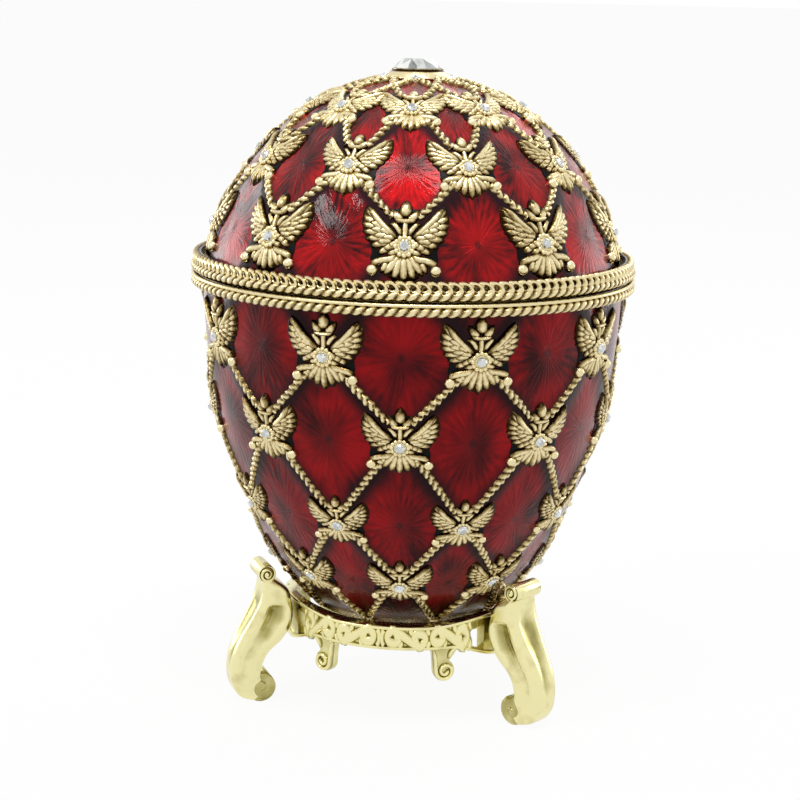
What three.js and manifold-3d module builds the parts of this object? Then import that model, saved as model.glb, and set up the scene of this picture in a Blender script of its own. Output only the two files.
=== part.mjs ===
// Egg trinket box on a three-legged stand, in millimetres, +Z up.
// The origin is on the floor, on the egg's axis; the front of the egg faces -Y and its hinge is at +Y.
// An azimuth is measured from the front: 0 is -Y and 90 degrees is +X.
import * as THREE from "three";
import { mergeVertices } from "three/addons/utils/BufferGeometryUtils.js";
import Module from "manifold-3d";

const wasm = await Module();
wasm.setup();

// Driving dimensions of the egg
const clearance = 0.3; // between two pieces that touch
const columns = 9; // emblems round the egg in each row
const bowlRadius = 36.3; // enamel, at the seam
const bowlDepth = 65.2; // seam to the lowest point of the enamel
const lidRadius = 36.4; // enamel, at the widest level of the lid's own curve
const lidRise = 33.3; // seam to the top of the enamel
const lidDrop = 7.3; // that widest level lies this far below the seam
const shellWall = 2;

// Rims
const bandWidth = 1.8; // of both rope bands, outwards from the room round the enamel
const bowlRimHeight = 2.4;
const lidRimHeight = 3.4;
const rimFlange = 0.9; // flat ring that covers the shell's edge
const rimRound = 0.4; // bevel on the band's outer edges
const lipHeight = 1.5; // locating lip, above the seam
const lipWall = 1;
const lipPlay = 0.5; // between the lip and the lid's rim

// Trellis
const ropeWidth = 1.6;
const ropeHeight = 0.75;
const knotTurn = 22.5; // degrees from a knot's middle line to its corners
const emblemHeight = 0.95; // thickness of an emblem's plate
const collarHeight = 3.2; // along the axis, on the bowl
const crownWidth = 2.2; // of the ring round the finial
const knotSetback = 1.45; // from that ring to the middle of a knot

// Crystals
const crystalRadius = 0.9;
const crystalHeight = 0.75;
const crystalGirdle = 0.4; // share of the height
const crystalTable = 0.6; // share of the radius

// Finial
const finialRadius = 4.1; // girdle of the big crystal
const finialCrown = 1.9; // girdle to table
const finialPavilion = 0.3; // girdle to culet
const finialTable = 0.6; // share of the radius
const finialCulet = 0.55;
const bezelWall = 0.45;
const bezelLip = 0.2; // of the bezel above the girdle
const bezelFloor = 0.3;

// Hinge and catch
const barrelRadius = 1.5;
const hingeInset = 0.2; // axis to the outside of the rims
const pinRadius = 0.6;
const pinHeadRadius = 1.1;
const pinHeadHeight = 0.4;
const middleKnuckle = 5; // length of the lid's knuckle
const outerKnuckle = 4.2; // length of each knuckle of the bowl
const leafThickness = 1.2;
const leafSetback = 0.35; // from the seam to each leaf
const magnetRadius = 1.5;
const magnetHeight = 1.2;
const magnetWall = 0.7; // wall of the boss round a magnet
const bossSetback = 1.3; // from the rim's inside to the boss, which clears the shell

// Stand
const standTurn = -8.6; // degrees that the stand is turned from the egg's hinge
const legCount = 3;
const seatRadius = 18.8; // upper edge of the slanted seat that carries the egg
const seatLip = 2.8; // from that edge to the outside of the gallery
const seatHeight = 1.6;
const galleryWall = 2.3;
const galleryBottom = 13.3; // height of the lower edge between the scrolls
const galleryTop = 17.5; // height of the upper edge at the middle of a side
const galleryRise = 1.2; // that edge is this much higher at a leg
const galleryDrop = 2.5; // the lower edge is this much lower at a leg
const galleryRiseFrom = 18; // degrees from the middle of a side where the upper edge starts to rise
const galleryDropFrom = 32; // and where the lower edge starts to drop
const pendantLength = 6; // of a hanging scroll below the lower edge
const pendantAngle = 30.5; // degrees from the middle of a side
const pendantEye = 2.1; // radius of the scroll's end
const pendantRoot = 2.9; // half its width at the lower edge
const pendantWaist = 0.7; // from its middle to the waist above the eye
const pendantCurl = 215; // degrees that its end turns
const pendantSetback = 0.1; // from the gallery's outside
const friezeLeaves = [8, 19, 31]; // degrees from the middle of a side
const friezeLeaf = 1.3; // half the length of a sunk leaf
const friezeTilt = 0.5; // rise of its tip
const cornerAngle = 45; // opening between the gallery and a leg, from the middle of a side
const cornerWidth = 3;
const cornerHeight = 2.8;
const rollRadius = 1.5; // roll at the top of a leg
const rollWidth = 6.6;
const rollEye = 0.8; // radius of the boss at each of its ends
const footRadius = 2.7; // scroll at the foot
const footSink = 0.35; // depth of the flat sole cut from that scroll
const footWidth = 5.2;
const footEye = 1.2; // radius of the boss at each side of that scroll
const eyeProud = 0.5; // of both bosses
const panelDepth = 0.7; // sunk panel on a leg's face
const legBorder = 1; // border round that panel
const legBevel = 0.5;

// Facets
const shellSides = 32;
const collarSides = 27;
const rimSides = 40;
const gallerySides = 48;
const scrollSides = 12;
const eyeSides = 8;
const barrelSides = 12;
const magnetSides = 16;
const bezelSides = 20;
const finialSides = 12;
const crystalSides = 6;
const pendantSteps = 8;
const ropeSteps = 2;
const solveSteps = 8; // rounds of a search on the egg's surface

const enamel = new THREE.MeshStandardMaterial({ color: 0x8e0d18, roughness: 0.12, metalness: 0 });
const eggGilt = new THREE.MeshStandardMaterial({ color: 0xd9c48a, roughness: 0.3, metalness: 1 });
const standGilt = new THREE.MeshStandardMaterial({ color: 0xe6df9c, roughness: 0.25, metalness: 1 });
const steel = new THREE.MeshStandardMaterial({ color: 0xb8bcc2, roughness: 0.3, metalness: 1 });
const crystal = new THREE.MeshStandardMaterial({
  color: 0xf4f8fb,
  roughness: 0.03,
  metalness: 0,
  transparent: true,
  opacity: 0.55,
});

const degrees = Math.PI / 180;

// A closed geometry as a solid, with its faces pointing out.
function solid(geometry) {
  const bare = geometry.index ? geometry.toNonIndexed() : geometry.clone();
  bare.deleteAttribute("normal");
  bare.deleteAttribute("uv");
  const merged = mergeVertices(bare, 1e-4);
  const corners = merged.index.array;
  const kept = [];
  for (let i = 0; i < corners.length; i += 3) {
    const [a, b, c] = corners.slice(i, i + 3);
    if (a !== b && b !== c && c !== a) kept.push(a, b, c);
  }
  const vertProperties = merged.attributes.position.array;
  const asGiven = new wasm.Manifold(
    new wasm.Mesh({ numProp: 3, vertProperties, triVerts: new Uint32Array(kept) }),
  );
  if (asGiven.volume() > 0) return asGiven;
  return new wasm.Manifold(
    new wasm.Mesh({ numProp: 3, vertProperties, triVerts: new Uint32Array(kept.reverse()) }),
  );
}

// A solid back as a geometry with flat faces.
function geometryOf(body) {
  const { vertProperties, triVerts } = body.getMesh();
  const geometry = new THREE.BufferGeometry();
  geometry.setAttribute("position", new THREE.BufferAttribute(vertProperties, 3));
  geometry.setIndex(new THREE.BufferAttribute(triVerts, 1));
  const flat = geometry.toNonIndexed();
  flat.computeVertexNormals();
  return flat;
}

function joined(first, ...others) {
  return others.reduce((body, other) => body.add(other), first);
}

function cut(first, ...others) {
  return others.reduce((body, other) => body.subtract(other), first);
}

function piece(name, body, material) {
  const mesh = new THREE.Mesh(geometryOf(body), material);
  mesh.name = name;
  return mesh;
}

// A profile of [radius, height] points turned about the Z axis; its first facet edge is at the front.
function turned(profile, sides) {
  const points = profile.map(([r, z]) => new THREE.Vector2(r, z));
  return solid(new THREE.LatheGeometry(points, sides).rotateX(Math.PI / 2));
}

// The same, for a profile that doesn't reach the axis: its last point is its first again.
function ring(profile, sides) {
  return turned([...profile, profile[0]], sides);
}

// A body whose surface runs through a row of rings of points; a loop returns to its first ring.
function loft(rings, loop = false) {
  const size = rings[0].length;
  const positions = rings.flat().flatMap((p) => [p.x, p.y, p.z]);
  const triangles = [];
  const spans = loop ? rings.length : rings.length - 1;
  for (let i = 0; i < spans; i++) {
    const here = i * size;
    const next = ((i + 1) % rings.length) * size;
    for (let j = 0; j < size; j++) {
      const k = (j + 1) % size;
      triangles.push(here + j, here + k, next + k, here + j, next + k, next + j);
    }
  }
  if (!loop) {
    const last = (rings.length - 1) * size;
    for (let j = 1; j < size - 1; j++) {
      triangles.push(0, j + 1, j, last, last + j, last + j + 1);
    }
  }
  const geometry = new THREE.BufferGeometry();
  geometry.setAttribute("position", new THREE.Float32BufferAttribute(positions, 3));
  geometry.setIndex(triangles);
  return solid(geometry);
}

// A cylinder along X.
function bar(radius, length, sides, x, y, z) {
  const geometry = new THREE.CylinderGeometry(radius, radius, length, sides);
  return solid(geometry.rotateZ(Math.PI / 2).translate(x, y, z));
}

function block(from, to) {
  const size = to.map((v, i) => v - from[i]);
  const middle = to.map((v, i) => (v + from[i]) / 2);
  return solid(new THREE.BoxGeometry(...size).translate(...middle));
}

// A flat shape of across and up, as a slab from the radius inner outwards, at the front.
function slab(shape, inner, depth) {
  const geometry = new THREE.ExtrudeGeometry(shape, { depth, bevelEnabled: false, curveSegments: 3 });
  return solid(geometry.rotateX(Math.PI / 2).translate(0, -inner, 0));
}

function aroundAxis(body, azimuth) {
  return body.rotate([0, 0, azimuth]);
}

// Each half of the egg is half an ellipsoid of revolution, with heights measured from the seam.
const bowlCurve = { radius: bowlRadius, reach: bowlDepth, level: 0, way: -1 };
const lidCurve = { radius: lidRadius, reach: lidRise + lidDrop, level: -lidDrop, way: 1 };

function latitude(curve, height) {
  return Math.asin((curve.way * (height - curve.level)) / curve.reach);
}

// [radius, height] at a latitude, lifted off the enamel along the surface's normal.
function meridian(curve, angle, lift = 0) {
  const across = Math.cos(angle) / curve.radius;
  const along = (curve.way * Math.sin(angle)) / curve.reach;
  const scale = lift / Math.hypot(across, along);
  return [
    curve.radius * Math.cos(angle) + across * scale,
    curve.level + curve.way * curve.reach * Math.sin(angle) + along * scale,
  ];
}

function onSurface(curve, azimuth, angle, lift) {
  const [r, z] = meridian(curve, angle, lift);
  return new THREE.Vector3(r * Math.sin(azimuth), -r * Math.cos(azimuth), z);
}

// Radius at a height of the surface that lies lift outside the enamel.
function radiusAt(curve, height, lift = 0) {
  let foot = height;
  for (let i = 0; i < solveSteps; i++) foot += height - meridian(curve, latitude(curve, foot), lift)[1];
  return meridian(curve, latitude(curve, foot), lift)[0];
}

// Height at which that surface has a radius.
function levelAt(curve, radius, lift) {
  let angle = Math.acos(radius / (curve.radius + lift));
  for (let i = 0; i < solveSteps; i++) {
    const excess = meridian(curve, angle, lift)[0] - radius;
    angle += excess / ((curve.radius + lift) * Math.sin(angle));
  }
  return meridian(curve, angle, lift)[1];
}

// The enamelled shell of one half, open at the seam.
function shell(curve, edge, outerSteps, innerSteps) {
  const inner = {
    ...curve,
    radius: curve.radius - shellWall,
    reach: curve.reach - shellWall,
  };
  const arc = (surface, steps) => {
    const start = latitude(surface, edge);
    return Array.from({ length: steps + 1 }, (_, i) =>
      i === steps
        ? [0, surface.level + surface.way * surface.reach]
        : meridian(surface, start + ((Math.PI / 2 - start) * i) / steps),
    );
  };
  return turned([...arc(curve, outerSteps).reverse(), ...arc(inner, innerSteps)], shellSides);
}

// Right half of an emblem, in shares of its width and height, from its top round to its foot:
// a leaf finial, a rope's end, a wing, a waist, a leaf scroll with a rope's end, and the tail.
const emblemHalf = [
  [0, 0.55],
  [0.12, 0.4],
  [0.26, 0.31],
  [0.46, 0.43],
  [0.5, 0.14],
  [0.34, -0.07],
  [0.37, -0.25],
  [0.25, -0.37],
  [0, -0.45],
];

// A closed outline, with the edges where ropes join it: an edge is named by its first point.
const emblemForm = {
  outline: [
    ...emblemHalf,
    ...emblemHalf
      .slice(1, -1)
      .reverse()
      .map(([across, up]) => [-across, up]),
  ],
  arrives: { right: 1, left: 14 },
  leaves: { right: 6, left: 9 },
};

// A knot where ropes cross without an emblem: an octagon, read round in the same way.
const knotForm = {
  outline: Array.from({ length: 8 }, (_, i) => {
    const turn = (90 - knotTurn * (2 * i + 1)) * degrees;
    return [Math.cos(turn) / 2, Math.sin(turn) / 2];
  }),
  arrives: { right: 0, left: 6 },
  leaves: { right: 2, left: 4 },
  top: 7,
};
const knotSize = ropeWidth / Math.sin(knotTurn * degrees);

// A row of crossings: its height as a share of the way from the seam to the pole, and its plates' size.
function emblemRow(reach, share, width, tall, staggered) {
  return { at: reach * share, width, tall, staggered, form: emblemForm };
}

const lidRows = [
  emblemRow(lidRise, 0.255, 12.9, 12, false),
  emblemRow(lidRise, 0.6, 9.9, 9.7, true),
  emblemRow(lidRise, 0.85, 9.4, 9, false),
];
const bowlRows = [
  emblemRow(-bowlDepth, 0.14, 12, 11.8, true),
  emblemRow(-bowlDepth, 0.359, 11.4, 10.6, false),
  emblemRow(-bowlDepth, 0.586, 9.6, 8.6, true),
  emblemRow(-bowlDepth, 0.761, 9.4, 8, false),
];

// The finial's cup stands on the top of the enamel, inside the crown ring of the trellis.
const cupInner = finialRadius + clearance;
const cupRadius = cupInner + bezelWall;
const crownInner = cupRadius + clearance;

// Height of the knots outside that ring.
const lidKnots = heightAtRadius(lidCurve, crownInner + crownWidth + knotSetback);

function azimuthOf(row, index) {
  return (index + (row.staggered ? 0.5 : 0)) * (360 / columns) * degrees;
}

// Turn of latitude for one millimetre along the meridian, towards the pole.
function anglePerMillimetre(curve, angle) {
  const nudge = 0.001;
  const step = onSurface(curve, 0, angle + nudge, 0).distanceTo(onSurface(curve, 0, angle, 0));
  return nudge / step;
}

const plateLift = [clearance, clearance + emblemHeight];
const ropeLift = [clearance, clearance + ropeHeight];

// The egg rests by its collar on the seat, which sets the height of the seam above the floor.
const seatLift = plateLift[1] + clearance;
const seamHeight = galleryTop - levelAt(bowlCurve, seatRadius, seatLift);
const galleryRadius = seatRadius + seatLip;
const collarTop = seamHeight - galleryTop + clearance; // depth of its upper edge below the seam

// Where a point of a plate's outline lies on the egg, as azimuth and latitude.
function spot(curve, row, index, [across, up]) {
  const angle = latitude(curve, row.at);
  const turn = curve.way * row.tall * anglePerMillimetre(curve, angle);
  const azimuth = azimuthOf(row, index) + (across * row.width) / radiusAt(curve, row.at);
  return { azimuth, angle: angle + up * turn };
}

// The trellis of one half as a single closed surface: plates at the crossings, and ropes that run
// from the lower edges of a row's plates to the upper edges of the next row's. Rows go downwards.
function lattice(curve, rows, spokeEnd) {
  const positions = [];
  const triangles = [];
  const add = (azimuth, angle, lift) => {
    const p = onSurface(curve, azimuth, angle, lift);
    return positions.push(p.x, p.y, p.z) / 3 - 1;
  };
  const quad = (a, b, c, d) => triangles.push(a, b, c, a, c, d);

  const addPlate = (row, index) => {
    const spots = row.form.outline.map((point) => spot(curve, row, index, point));
    const centre = spot(curve, row, index, [0, 0]);
    const [low, high] = plateLift.map((lift) => ({
      rim: spots.map(({ azimuth, angle }) => add(azimuth, angle, lift)),
      centre: add(centre.azimuth, centre.angle, lift),
    }));
    spots.forEach((_, j) => {
      const k = (j + 1) % spots.length;
      triangles.push(low.centre, low.rim[k], low.rim[j], high.centre, high.rim[j], high.rim[k]);
    });
    return { spots, low: low.rim, high: high.rim, open: new Set() };
  };

  // The corners of the edge where a rope joins a plate; that edge then gets no wall.
  const port = (plate, edge) => {
    const next = (edge + 1) % plate.spots.length;
    plate.open.add(edge);
    const [a, b] = [plate.spots[edge], plate.spots[next]];
    return {
      corners: [plate.low[edge], plate.low[next], plate.high[next], plate.high[edge]],
      middle: { azimuth: (a.azimuth + b.azimuth) / 2, angle: (a.angle + b.angle) / 2 },
    };
  };

  // Four corners of a rope's section at a share of the way between two places.
  const section = (from, to, share) => {
    const at = (t, lift) =>
      onSurface(
        curve,
        from.azimuth + (to.azimuth - from.azimuth) * t,
        from.angle + (to.angle - from.angle) * t,
        lift,
      );
    const along = at(share + 0.01, 0).sub(at(share - 0.01, 0));
    const out = at(share, 1).sub(at(share, 0));
    const side = new THREE.Vector3().crossVectors(along, out).setLength(ropeWidth / 2);
    const corner = (lift, way) => at(share, lift).addScaledVector(side, way);
    const corners = [
      corner(ropeLift[0], -1),
      corner(ropeLift[0], 1),
      corner(ropeLift[1], 1),
      corner(ropeLift[1], -1),
    ];
    return corners.map((p) => positions.push(p.x, p.y, p.z) / 3 - 1);
  };

  const addRope = (first, rings) => {
    rings.reduce((here, next) => {
      here.forEach((_, j) => {
        const k = (j + 1) % here.length;
        quad(here[j], here[k], next[k], next[j]);
      });
      return next;
    }, first);
  };

  const middleRings = (from, to) =>
    Array.from({ length: ropeSteps - 1 }, (_, i) => section(from, to, (i + 1) / ropeSteps));

  const plates = rows.map((row) =>
    Array.from({ length: columns }, (_, index) => addPlate(row, index)),
  );
  rows.slice(0, -1).forEach((row, i) => {
    const lower = rows[i + 1];
    plates[i].forEach((plate, index) => {
      for (const way of ["left", "right"]) {
        const shift = (way === "right" ? 1 : 0) - (row.staggered ? 0 : 1);
        const turns = Math.floor((index + shift) / columns);
        const target = plates[i + 1][(index + shift + columns) % columns];
        const from = port(plate, row.form.leaves[way]);
        const to = port(target, lower.form.arrives[way === "right" ? "left" : "right"]);
        const end = { ...to.middle, azimuth: to.middle.azimuth + turns * 2 * Math.PI };
        const [a, b, c, d] = to.corners;
        addRope(from.corners, [...middleRings(from.middle, end), [b, a, d, c]]);
      }
    });
  });
  if (spokeEnd) {
    plates[0].forEach((plate, index) => {
      const from = port(plate, rows[0].form.top);
      const end = section(from.middle, { azimuth: azimuthOf(rows[0], index), angle: spokeEnd }, 1);
      addRope(from.corners, [end]);
      quad(end[0], end[1], end[2], end[3]);
    });
  }
  for (const plate of plates.flat()) {
    plate.spots.forEach((_, j) => {
      if (plate.open.has(j)) return;
      const k = (j + 1) % plate.spots.length;
      quad(plate.low[j], plate.low[k], plate.high[k], plate.high[j]);
    });
  }
  const geometry = new THREE.BufferGeometry();
  geometry.setAttribute("position", new THREE.Float32BufferAttribute(positions, 3));
  geometry.setIndex(triangles);
  return solid(geometry);
}

// A band that lies on the enamel between two heights.
function surfaceBand(curve, heights, lift) {
  const [first, last] = heights.map((height) => latitude(curve, height));
  const low = [first, last].map((angle) => meridian(curve, angle, lift[0]));
  const high = [last, first].map((angle) => meridian(curve, angle, lift[1]));
  return ring([...low, ...high], collarSides);
}

function knotRow(at) {
  return { at, width: knotSize, tall: knotSize, staggered: true, form: knotForm };
}

function bowlTrellis() {
  const collar = surfaceBand(bowlCurve, [-collarTop, -collarTop - collarHeight], plateLift);
  return joined(collar, lattice(bowlCurve, [...bowlRows, knotRow(-collarTop - ropeWidth / 2)]));
}

function heightAtRadius(curve, radius) {
  return curve.level + curve.way * curve.reach * Math.sqrt(1 - (radius / curve.radius) ** 2);
}

function lidTrellis() {
  const [outer, middle, inner] = [1, 0.5, 0].map((share) =>
    heightAtRadius(lidCurve, crownInner + share * crownWidth),
  );
  const crown = surfaceBand(lidCurve, [outer, inner], plateLift);
  const rows = [knotRow(lidKnots), ...[...lidRows].reverse()];
  return joined(crown, lattice(lidCurve, rows, latitude(lidCurve, middle)));
}

// Hinge: the axis runs along X at the seam, at the rear.
const bandInner = Math.max(bowlRadius, lidRadius) + clearance;
const rimRadius = bandInner + bandWidth;
const hingeY = rimRadius - hingeInset;
const knuckleGap = clearance;
const hingeWidth = middleKnuckle + 2 * (outerKnuckle + knuckleGap);
const outerKnuckleX = middleKnuckle / 2 + knuckleGap + outerKnuckle / 2;
const leafInner = bandInner + clearance;

function knuckle(x, length) {
  return bar(barrelRadius, length, barrelSides, x, hingeY, 0);
}

function pinBore() {
  return bar(pinRadius + clearance, 2 * hingeWidth, barrelSides, 0, hingeY, 0);
}

function knuckleRoom(x, length) {
  return bar(barrelRadius + clearance, length + 2 * knuckleGap, barrelSides, x, hingeY, 0);
}

function leafPlate(way, rimHeight) {
  const near = way * leafSetback;
  const far = way * (rimHeight - clearance);
  const half = hingeWidth / 2;
  return block(
    [-half, leafInner, Math.min(near, far)],
    [half, leafInner + leafThickness, Math.max(near, far)],
  );
}

function bowlLeaf() {
  const plate = cut(leafPlate(-1, bowlRimHeight), knuckleRoom(0, middleKnuckle));
  const knuckles = [-1, 1].map((side) => knuckle(side * outerKnuckleX, outerKnuckle));
  return cut(joined(plate, ...knuckles), pinBore());
}

function lidLeaf() {
  const rooms = [-1, 1].map((side) => knuckleRoom(side * outerKnuckleX, outerKnuckle));
  const plate = cut(leafPlate(1, lidRimHeight), ...rooms);
  return cut(joined(plate, knuckle(0, middleKnuckle)), pinBore());
}

function hingePin() {
  const length = hingeWidth + 2 * clearance;
  const heads = [-1, 1].map((side) => {
    const middle = (side * (length + pinHeadHeight)) / 2;
    return bar(pinHeadRadius, pinHeadHeight, barrelSides, middle, hingeY, 0);
  });
  return joined(bar(pinRadius, length + pinHeadHeight, barrelSides, 0, hingeY, 0), ...heads);
}

// Room in the rims for the leaves and knuckles.
function hingeNotch() {
  const half = hingeWidth / 2 + pinHeadHeight + 2 * clearance;
  const reach = rimRadius + barrelRadius;
  return block(
    [-half, bandInner - clearance / 2, -2 * lidRimHeight],
    [half, reach, 2 * lidRimHeight],
  );
}

// Catch: a magnet in a boss on each rim, at the front.
const bossRadius = magnetRadius + clearance + magnetWall;
const lidRimInner = Math.min(radiusAt(bowlCurve, 0), radiusAt(lidCurve, 0)) - shellWall;
const lipRadius = lidRimInner - lipPlay;
const bossReach = lidRimInner - bossSetback; // from the egg's axis
const magnetCentre = bossReach - bossRadius;
const seamGap = clearance / 2; // from the seam plane to each rim's face
const pocketDepth = magnetHeight + 2 * clearance;

// U-shaped boss from the magnet's centre out to a radius, its face at the seam.
function bossSlab(way, height, reach, grow = 0) {
  const shape = new THREE.Shape();
  const wide = bossRadius + grow;
  shape.moveTo(-wide, -reach);
  shape.lineTo(wide, -reach);
  shape.lineTo(wide, -magnetCentre);
  shape.absarc(0, -magnetCentre, wide, 0, Math.PI, false);
  const geometry = new THREE.ExtrudeGeometry(shape, {
    depth: height,
    bevelEnabled: false,
    curveSegments: 8,
  });
  return solid(geometry.translate(0, 0, way > 0 ? seamGap : -seamGap - height));
}

function disc(radius, low, high, sides) {
  const geometry = new THREE.CylinderGeometry(radius, radius, high - low, sides);
  return solid(geometry.rotateX(Math.PI / 2).translate(0, -magnetCentre, (low + high) / 2));
}

function magnetPocket(way) {
  const end = way * (seamGap + pocketDepth);
  return disc(magnetRadius + clearance, Math.min(0, end), Math.max(0, end), magnetSides);
}

function magnet(way) {
  const near = way * (seamGap + clearance);
  const far = way * (seamGap + clearance + magnetHeight);
  return disc(magnetRadius, Math.min(near, far), Math.max(near, far), magnetSides);
}

const bossHeight = pocketDepth + magnetWall;

// The boss stays clear of the shell's inside and joins the rim by a tongue as thin as the flange.
function catchBoss(way) {
  return joined(
    bossSlab(way, bossHeight, bossReach),
    bossSlab(way, rimFlange, lidRimInner + lipWall),
  );
}

function bowlRim() {
  const flangeLow = -seamGap - rimFlange;
  const body = ring(
    [
      [lipRadius - lipWall, lipHeight],
      [lipRadius - lipWall, flangeLow],
      [bandInner, flangeLow],
      [bandInner, -bowlRimHeight],
      [rimRadius - rimRound, -bowlRimHeight],
      [rimRadius, -bowlRimHeight + rimRound],
      [rimRadius, -seamGap - rimRound],
      [rimRadius - rimRound, -seamGap],
      [lipRadius, -seamGap],
      [lipRadius, lipHeight],
    ],
    rimSides,
  );
  const lidBossRoom = bossSlab(1, 2 * lipHeight, bandInner, lipPlay).translate([0, 0, -2 * seamGap]);
  const withBoss = joined(cut(body, lidBossRoom), catchBoss(-1));
  return cut(withBoss, magnetPocket(-1), hingeNotch());
}

function lidRim() {
  const flangeHigh = seamGap + rimFlange;
  const body = ring(
    [
      [lidRimInner, seamGap],
      [rimRadius - rimRound, seamGap],
      [rimRadius, seamGap + rimRound],
      [rimRadius, lidRimHeight - rimRound],
      [rimRadius - rimRound, lidRimHeight],
      [bandInner, lidRimHeight],
      [bandInner, flangeHigh],
      [lidRimInner, flangeHigh],
    ],
    rimSides,
  );
  return cut(joined(body, catchBoss(1)), magnetPocket(1), hingeNotch());
}

const shellEdge = seamGap + rimFlange + clearance;

function smallCrystal() {
  const profile = [
    [0, 0],
    [crystalRadius, crystalGirdle * crystalHeight],
    [crystalTable * crystalRadius, crystalHeight],
    [0, crystalHeight],
  ];
  return geometryOf(turned(profile, crystalSides));
}

// A row of crystals, one over each emblem, each facing straight out of the egg.
function crystalRow(name, curve, row) {
  const geometry = smallCrystal();
  const angle = latitude(curve, row.at);
  return Array.from({ length: columns }, (_, index) => {
    const mesh = new THREE.Mesh(geometry, crystal);
    mesh.name = name + "_" + (index + 1);
    const azimuth = azimuthOf(row, index);
    const seat = onSurface(curve, azimuth, angle, 2 * clearance + emblemHeight);
    const out = seat.clone().sub(onSurface(curve, azimuth, angle, 0)).normalize();
    mesh.position.copy(seat);
    mesh.quaternion.setFromUnitVectors(new THREE.Vector3(0, 0, 1), out);
    return mesh;
  });
}

// Finial: a crystal in its cup
const cupFoot = lidRise + clearance;
const cupFloor = cupFoot + bezelFloor;
const girdle = cupFloor + clearance + finialPavilion;

function finialBezel() {
  return turned(
    [
      [0, cupFoot],
      [cupRadius, heightAtRadius(lidCurve, cupRadius) + clearance],
      [cupRadius, girdle + bezelLip],
      [cupInner, girdle + bezelLip],
      [cupInner, cupFloor],
      [0, cupFloor],
    ],
    bezelSides,
  );
}

function finialCrystal() {
  return turned(
    [
      [0, girdle - finialPavilion],
      [finialRadius * finialCulet, girdle - finialPavilion],
      [finialRadius, girdle - clearance / 2],
      [finialRadius, girdle + clearance / 2],
      [finialRadius * finialTable, girdle + finialCrown],
      [0, girdle + finialCrown],
    ],
    finialSides,
  );
}

// Gallery: a ring whose upper and lower edges rise and fall along each of its three sides.
const sideAngle = 360 / legCount;

function smoothStep(x) {
  const t = Math.min(1, Math.max(0, x));
  return t * t * (3 - 2 * t);
}

// Height of an edge at an angle from the middle of a side: level in the middle, then moved by change.
function edgeHeight(level, change, angle, from) {
  const half = sideAngle / 2;
  return level + change * smoothStep((Math.abs(angle) - from) / (half - from));
}

function galleryWallBody() {
  const rings = Array.from({ length: gallerySides }, (_, i) => {
    const azimuth = (i * 360) / gallerySides;
    const fromMiddle = ((azimuth + sideAngle / 2) % sideAngle) - sideAngle / 2;
    const top = edgeHeight(galleryTop, galleryRise, fromMiddle, galleryRiseFrom);
    const bottom = edgeHeight(galleryBottom, -galleryDrop, fromMiddle, galleryDropFrom);
    const seat = [top, galleryTop - seatHeight].map((z) => [
      radiusAt(bowlCurve, z - seamHeight, seatLift),
      z,
    ]);
    const inner = galleryRadius - galleryWall;
    const section = [
      [galleryRadius, bottom],
      [galleryRadius, top],
      seat[0],
      seat[1],
      [inner, galleryTop - 1.5 * seatHeight],
      [inner, bottom],
    ];
    const turn = azimuth * degrees;
    return section.map(([r, z]) => new THREE.Vector3(r * Math.sin(turn), -r * Math.cos(turn), z));
  });
  return loft(rings, true);
}

// A hanging scroll that curls away from the middle of its side; way is 1 for the right one.
function pendant(way) {
  const shape = new THREE.Shape();
  const top = galleryBottom + (galleryTop - galleryBottom) / 5;
  const eyeZ = galleryBottom - pendantLength + pendantEye;
  const waistZ = eyeZ + 0.9 * pendantEye;
  const bendZ = (galleryBottom + eyeZ) / 2;
  shape.moveTo(-way * pendantRoot, top);
  shape.quadraticCurveTo(-way * pendantEye, bendZ, -way * pendantEye, eyeZ);
  for (let i = 1; i <= pendantSteps; i++) {
    const turn = Math.PI + (i * pendantCurl * degrees) / pendantSteps;
    shape.lineTo(way * pendantEye * Math.cos(turn), eyeZ + pendantEye * Math.sin(turn));
  }
  shape.lineTo(way * pendantWaist, waistZ);
  shape.quadraticCurveTo(way * pendantWaist, (galleryBottom + waistZ) / 2, way * pendantRoot, top);
  return slab(shape, galleryRadius - galleryWall, galleryWall - pendantSetback);
}

// Sunk leaf shape in the frieze, and the open corner between the gallery and a leg.
function friezePocket(tilt) {
  const shape = new THREE.Shape();
  const middle = (galleryBottom + galleryTop) / 2;
  const bow = friezeLeaf / 4;
  shape.moveTo(-friezeLeaf, middle - tilt);
  shape.quadraticCurveTo(-bow, middle + friezeLeaf, friezeLeaf, middle + tilt);
  shape.quadraticCurveTo(bow, middle - friezeLeaf, -friezeLeaf, middle - tilt);
  return slab(shape, galleryRadius - panelDepth, 3 * panelDepth);
}

function openCorner(way) {
  const shape = new THREE.Shape();
  const low = galleryBottom - 0.4 * galleryDrop;
  shape.moveTo(-way * 0.6 * cornerWidth, low + cornerHeight / 3);
  shape.lineTo(way * 0.4 * cornerWidth, low);
  shape.lineTo(way * 0.4 * cornerWidth, low + cornerHeight);
  shape.closePath();
  return slab(shape, galleryRadius - 2 * galleryWall, 3 * galleryWall);
}

function galleryRing() {
  const scrolls = [];
  const sunk = [];
  for (let side = 0; side < legCount; side++) {
    for (const way of [-1, 1]) {
      scrolls.push(aroundAxis(pendant(way), side * sideAngle + way * pendantAngle));
      friezeLeaves.forEach((angle, n) => {
        const pocket = friezePocket(way * (n % 2 ? friezeTilt : -friezeTilt));
        sunk.push(aroundAxis(pocket, side * sideAngle + way * angle));
      });
      sunk.push(aroundAxis(openCorner(way), side * sideAngle + way * cornerAngle));
    }
  }
  return cut(joined(galleryWallBody(), ...scrolls), ...sunk);
}

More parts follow.
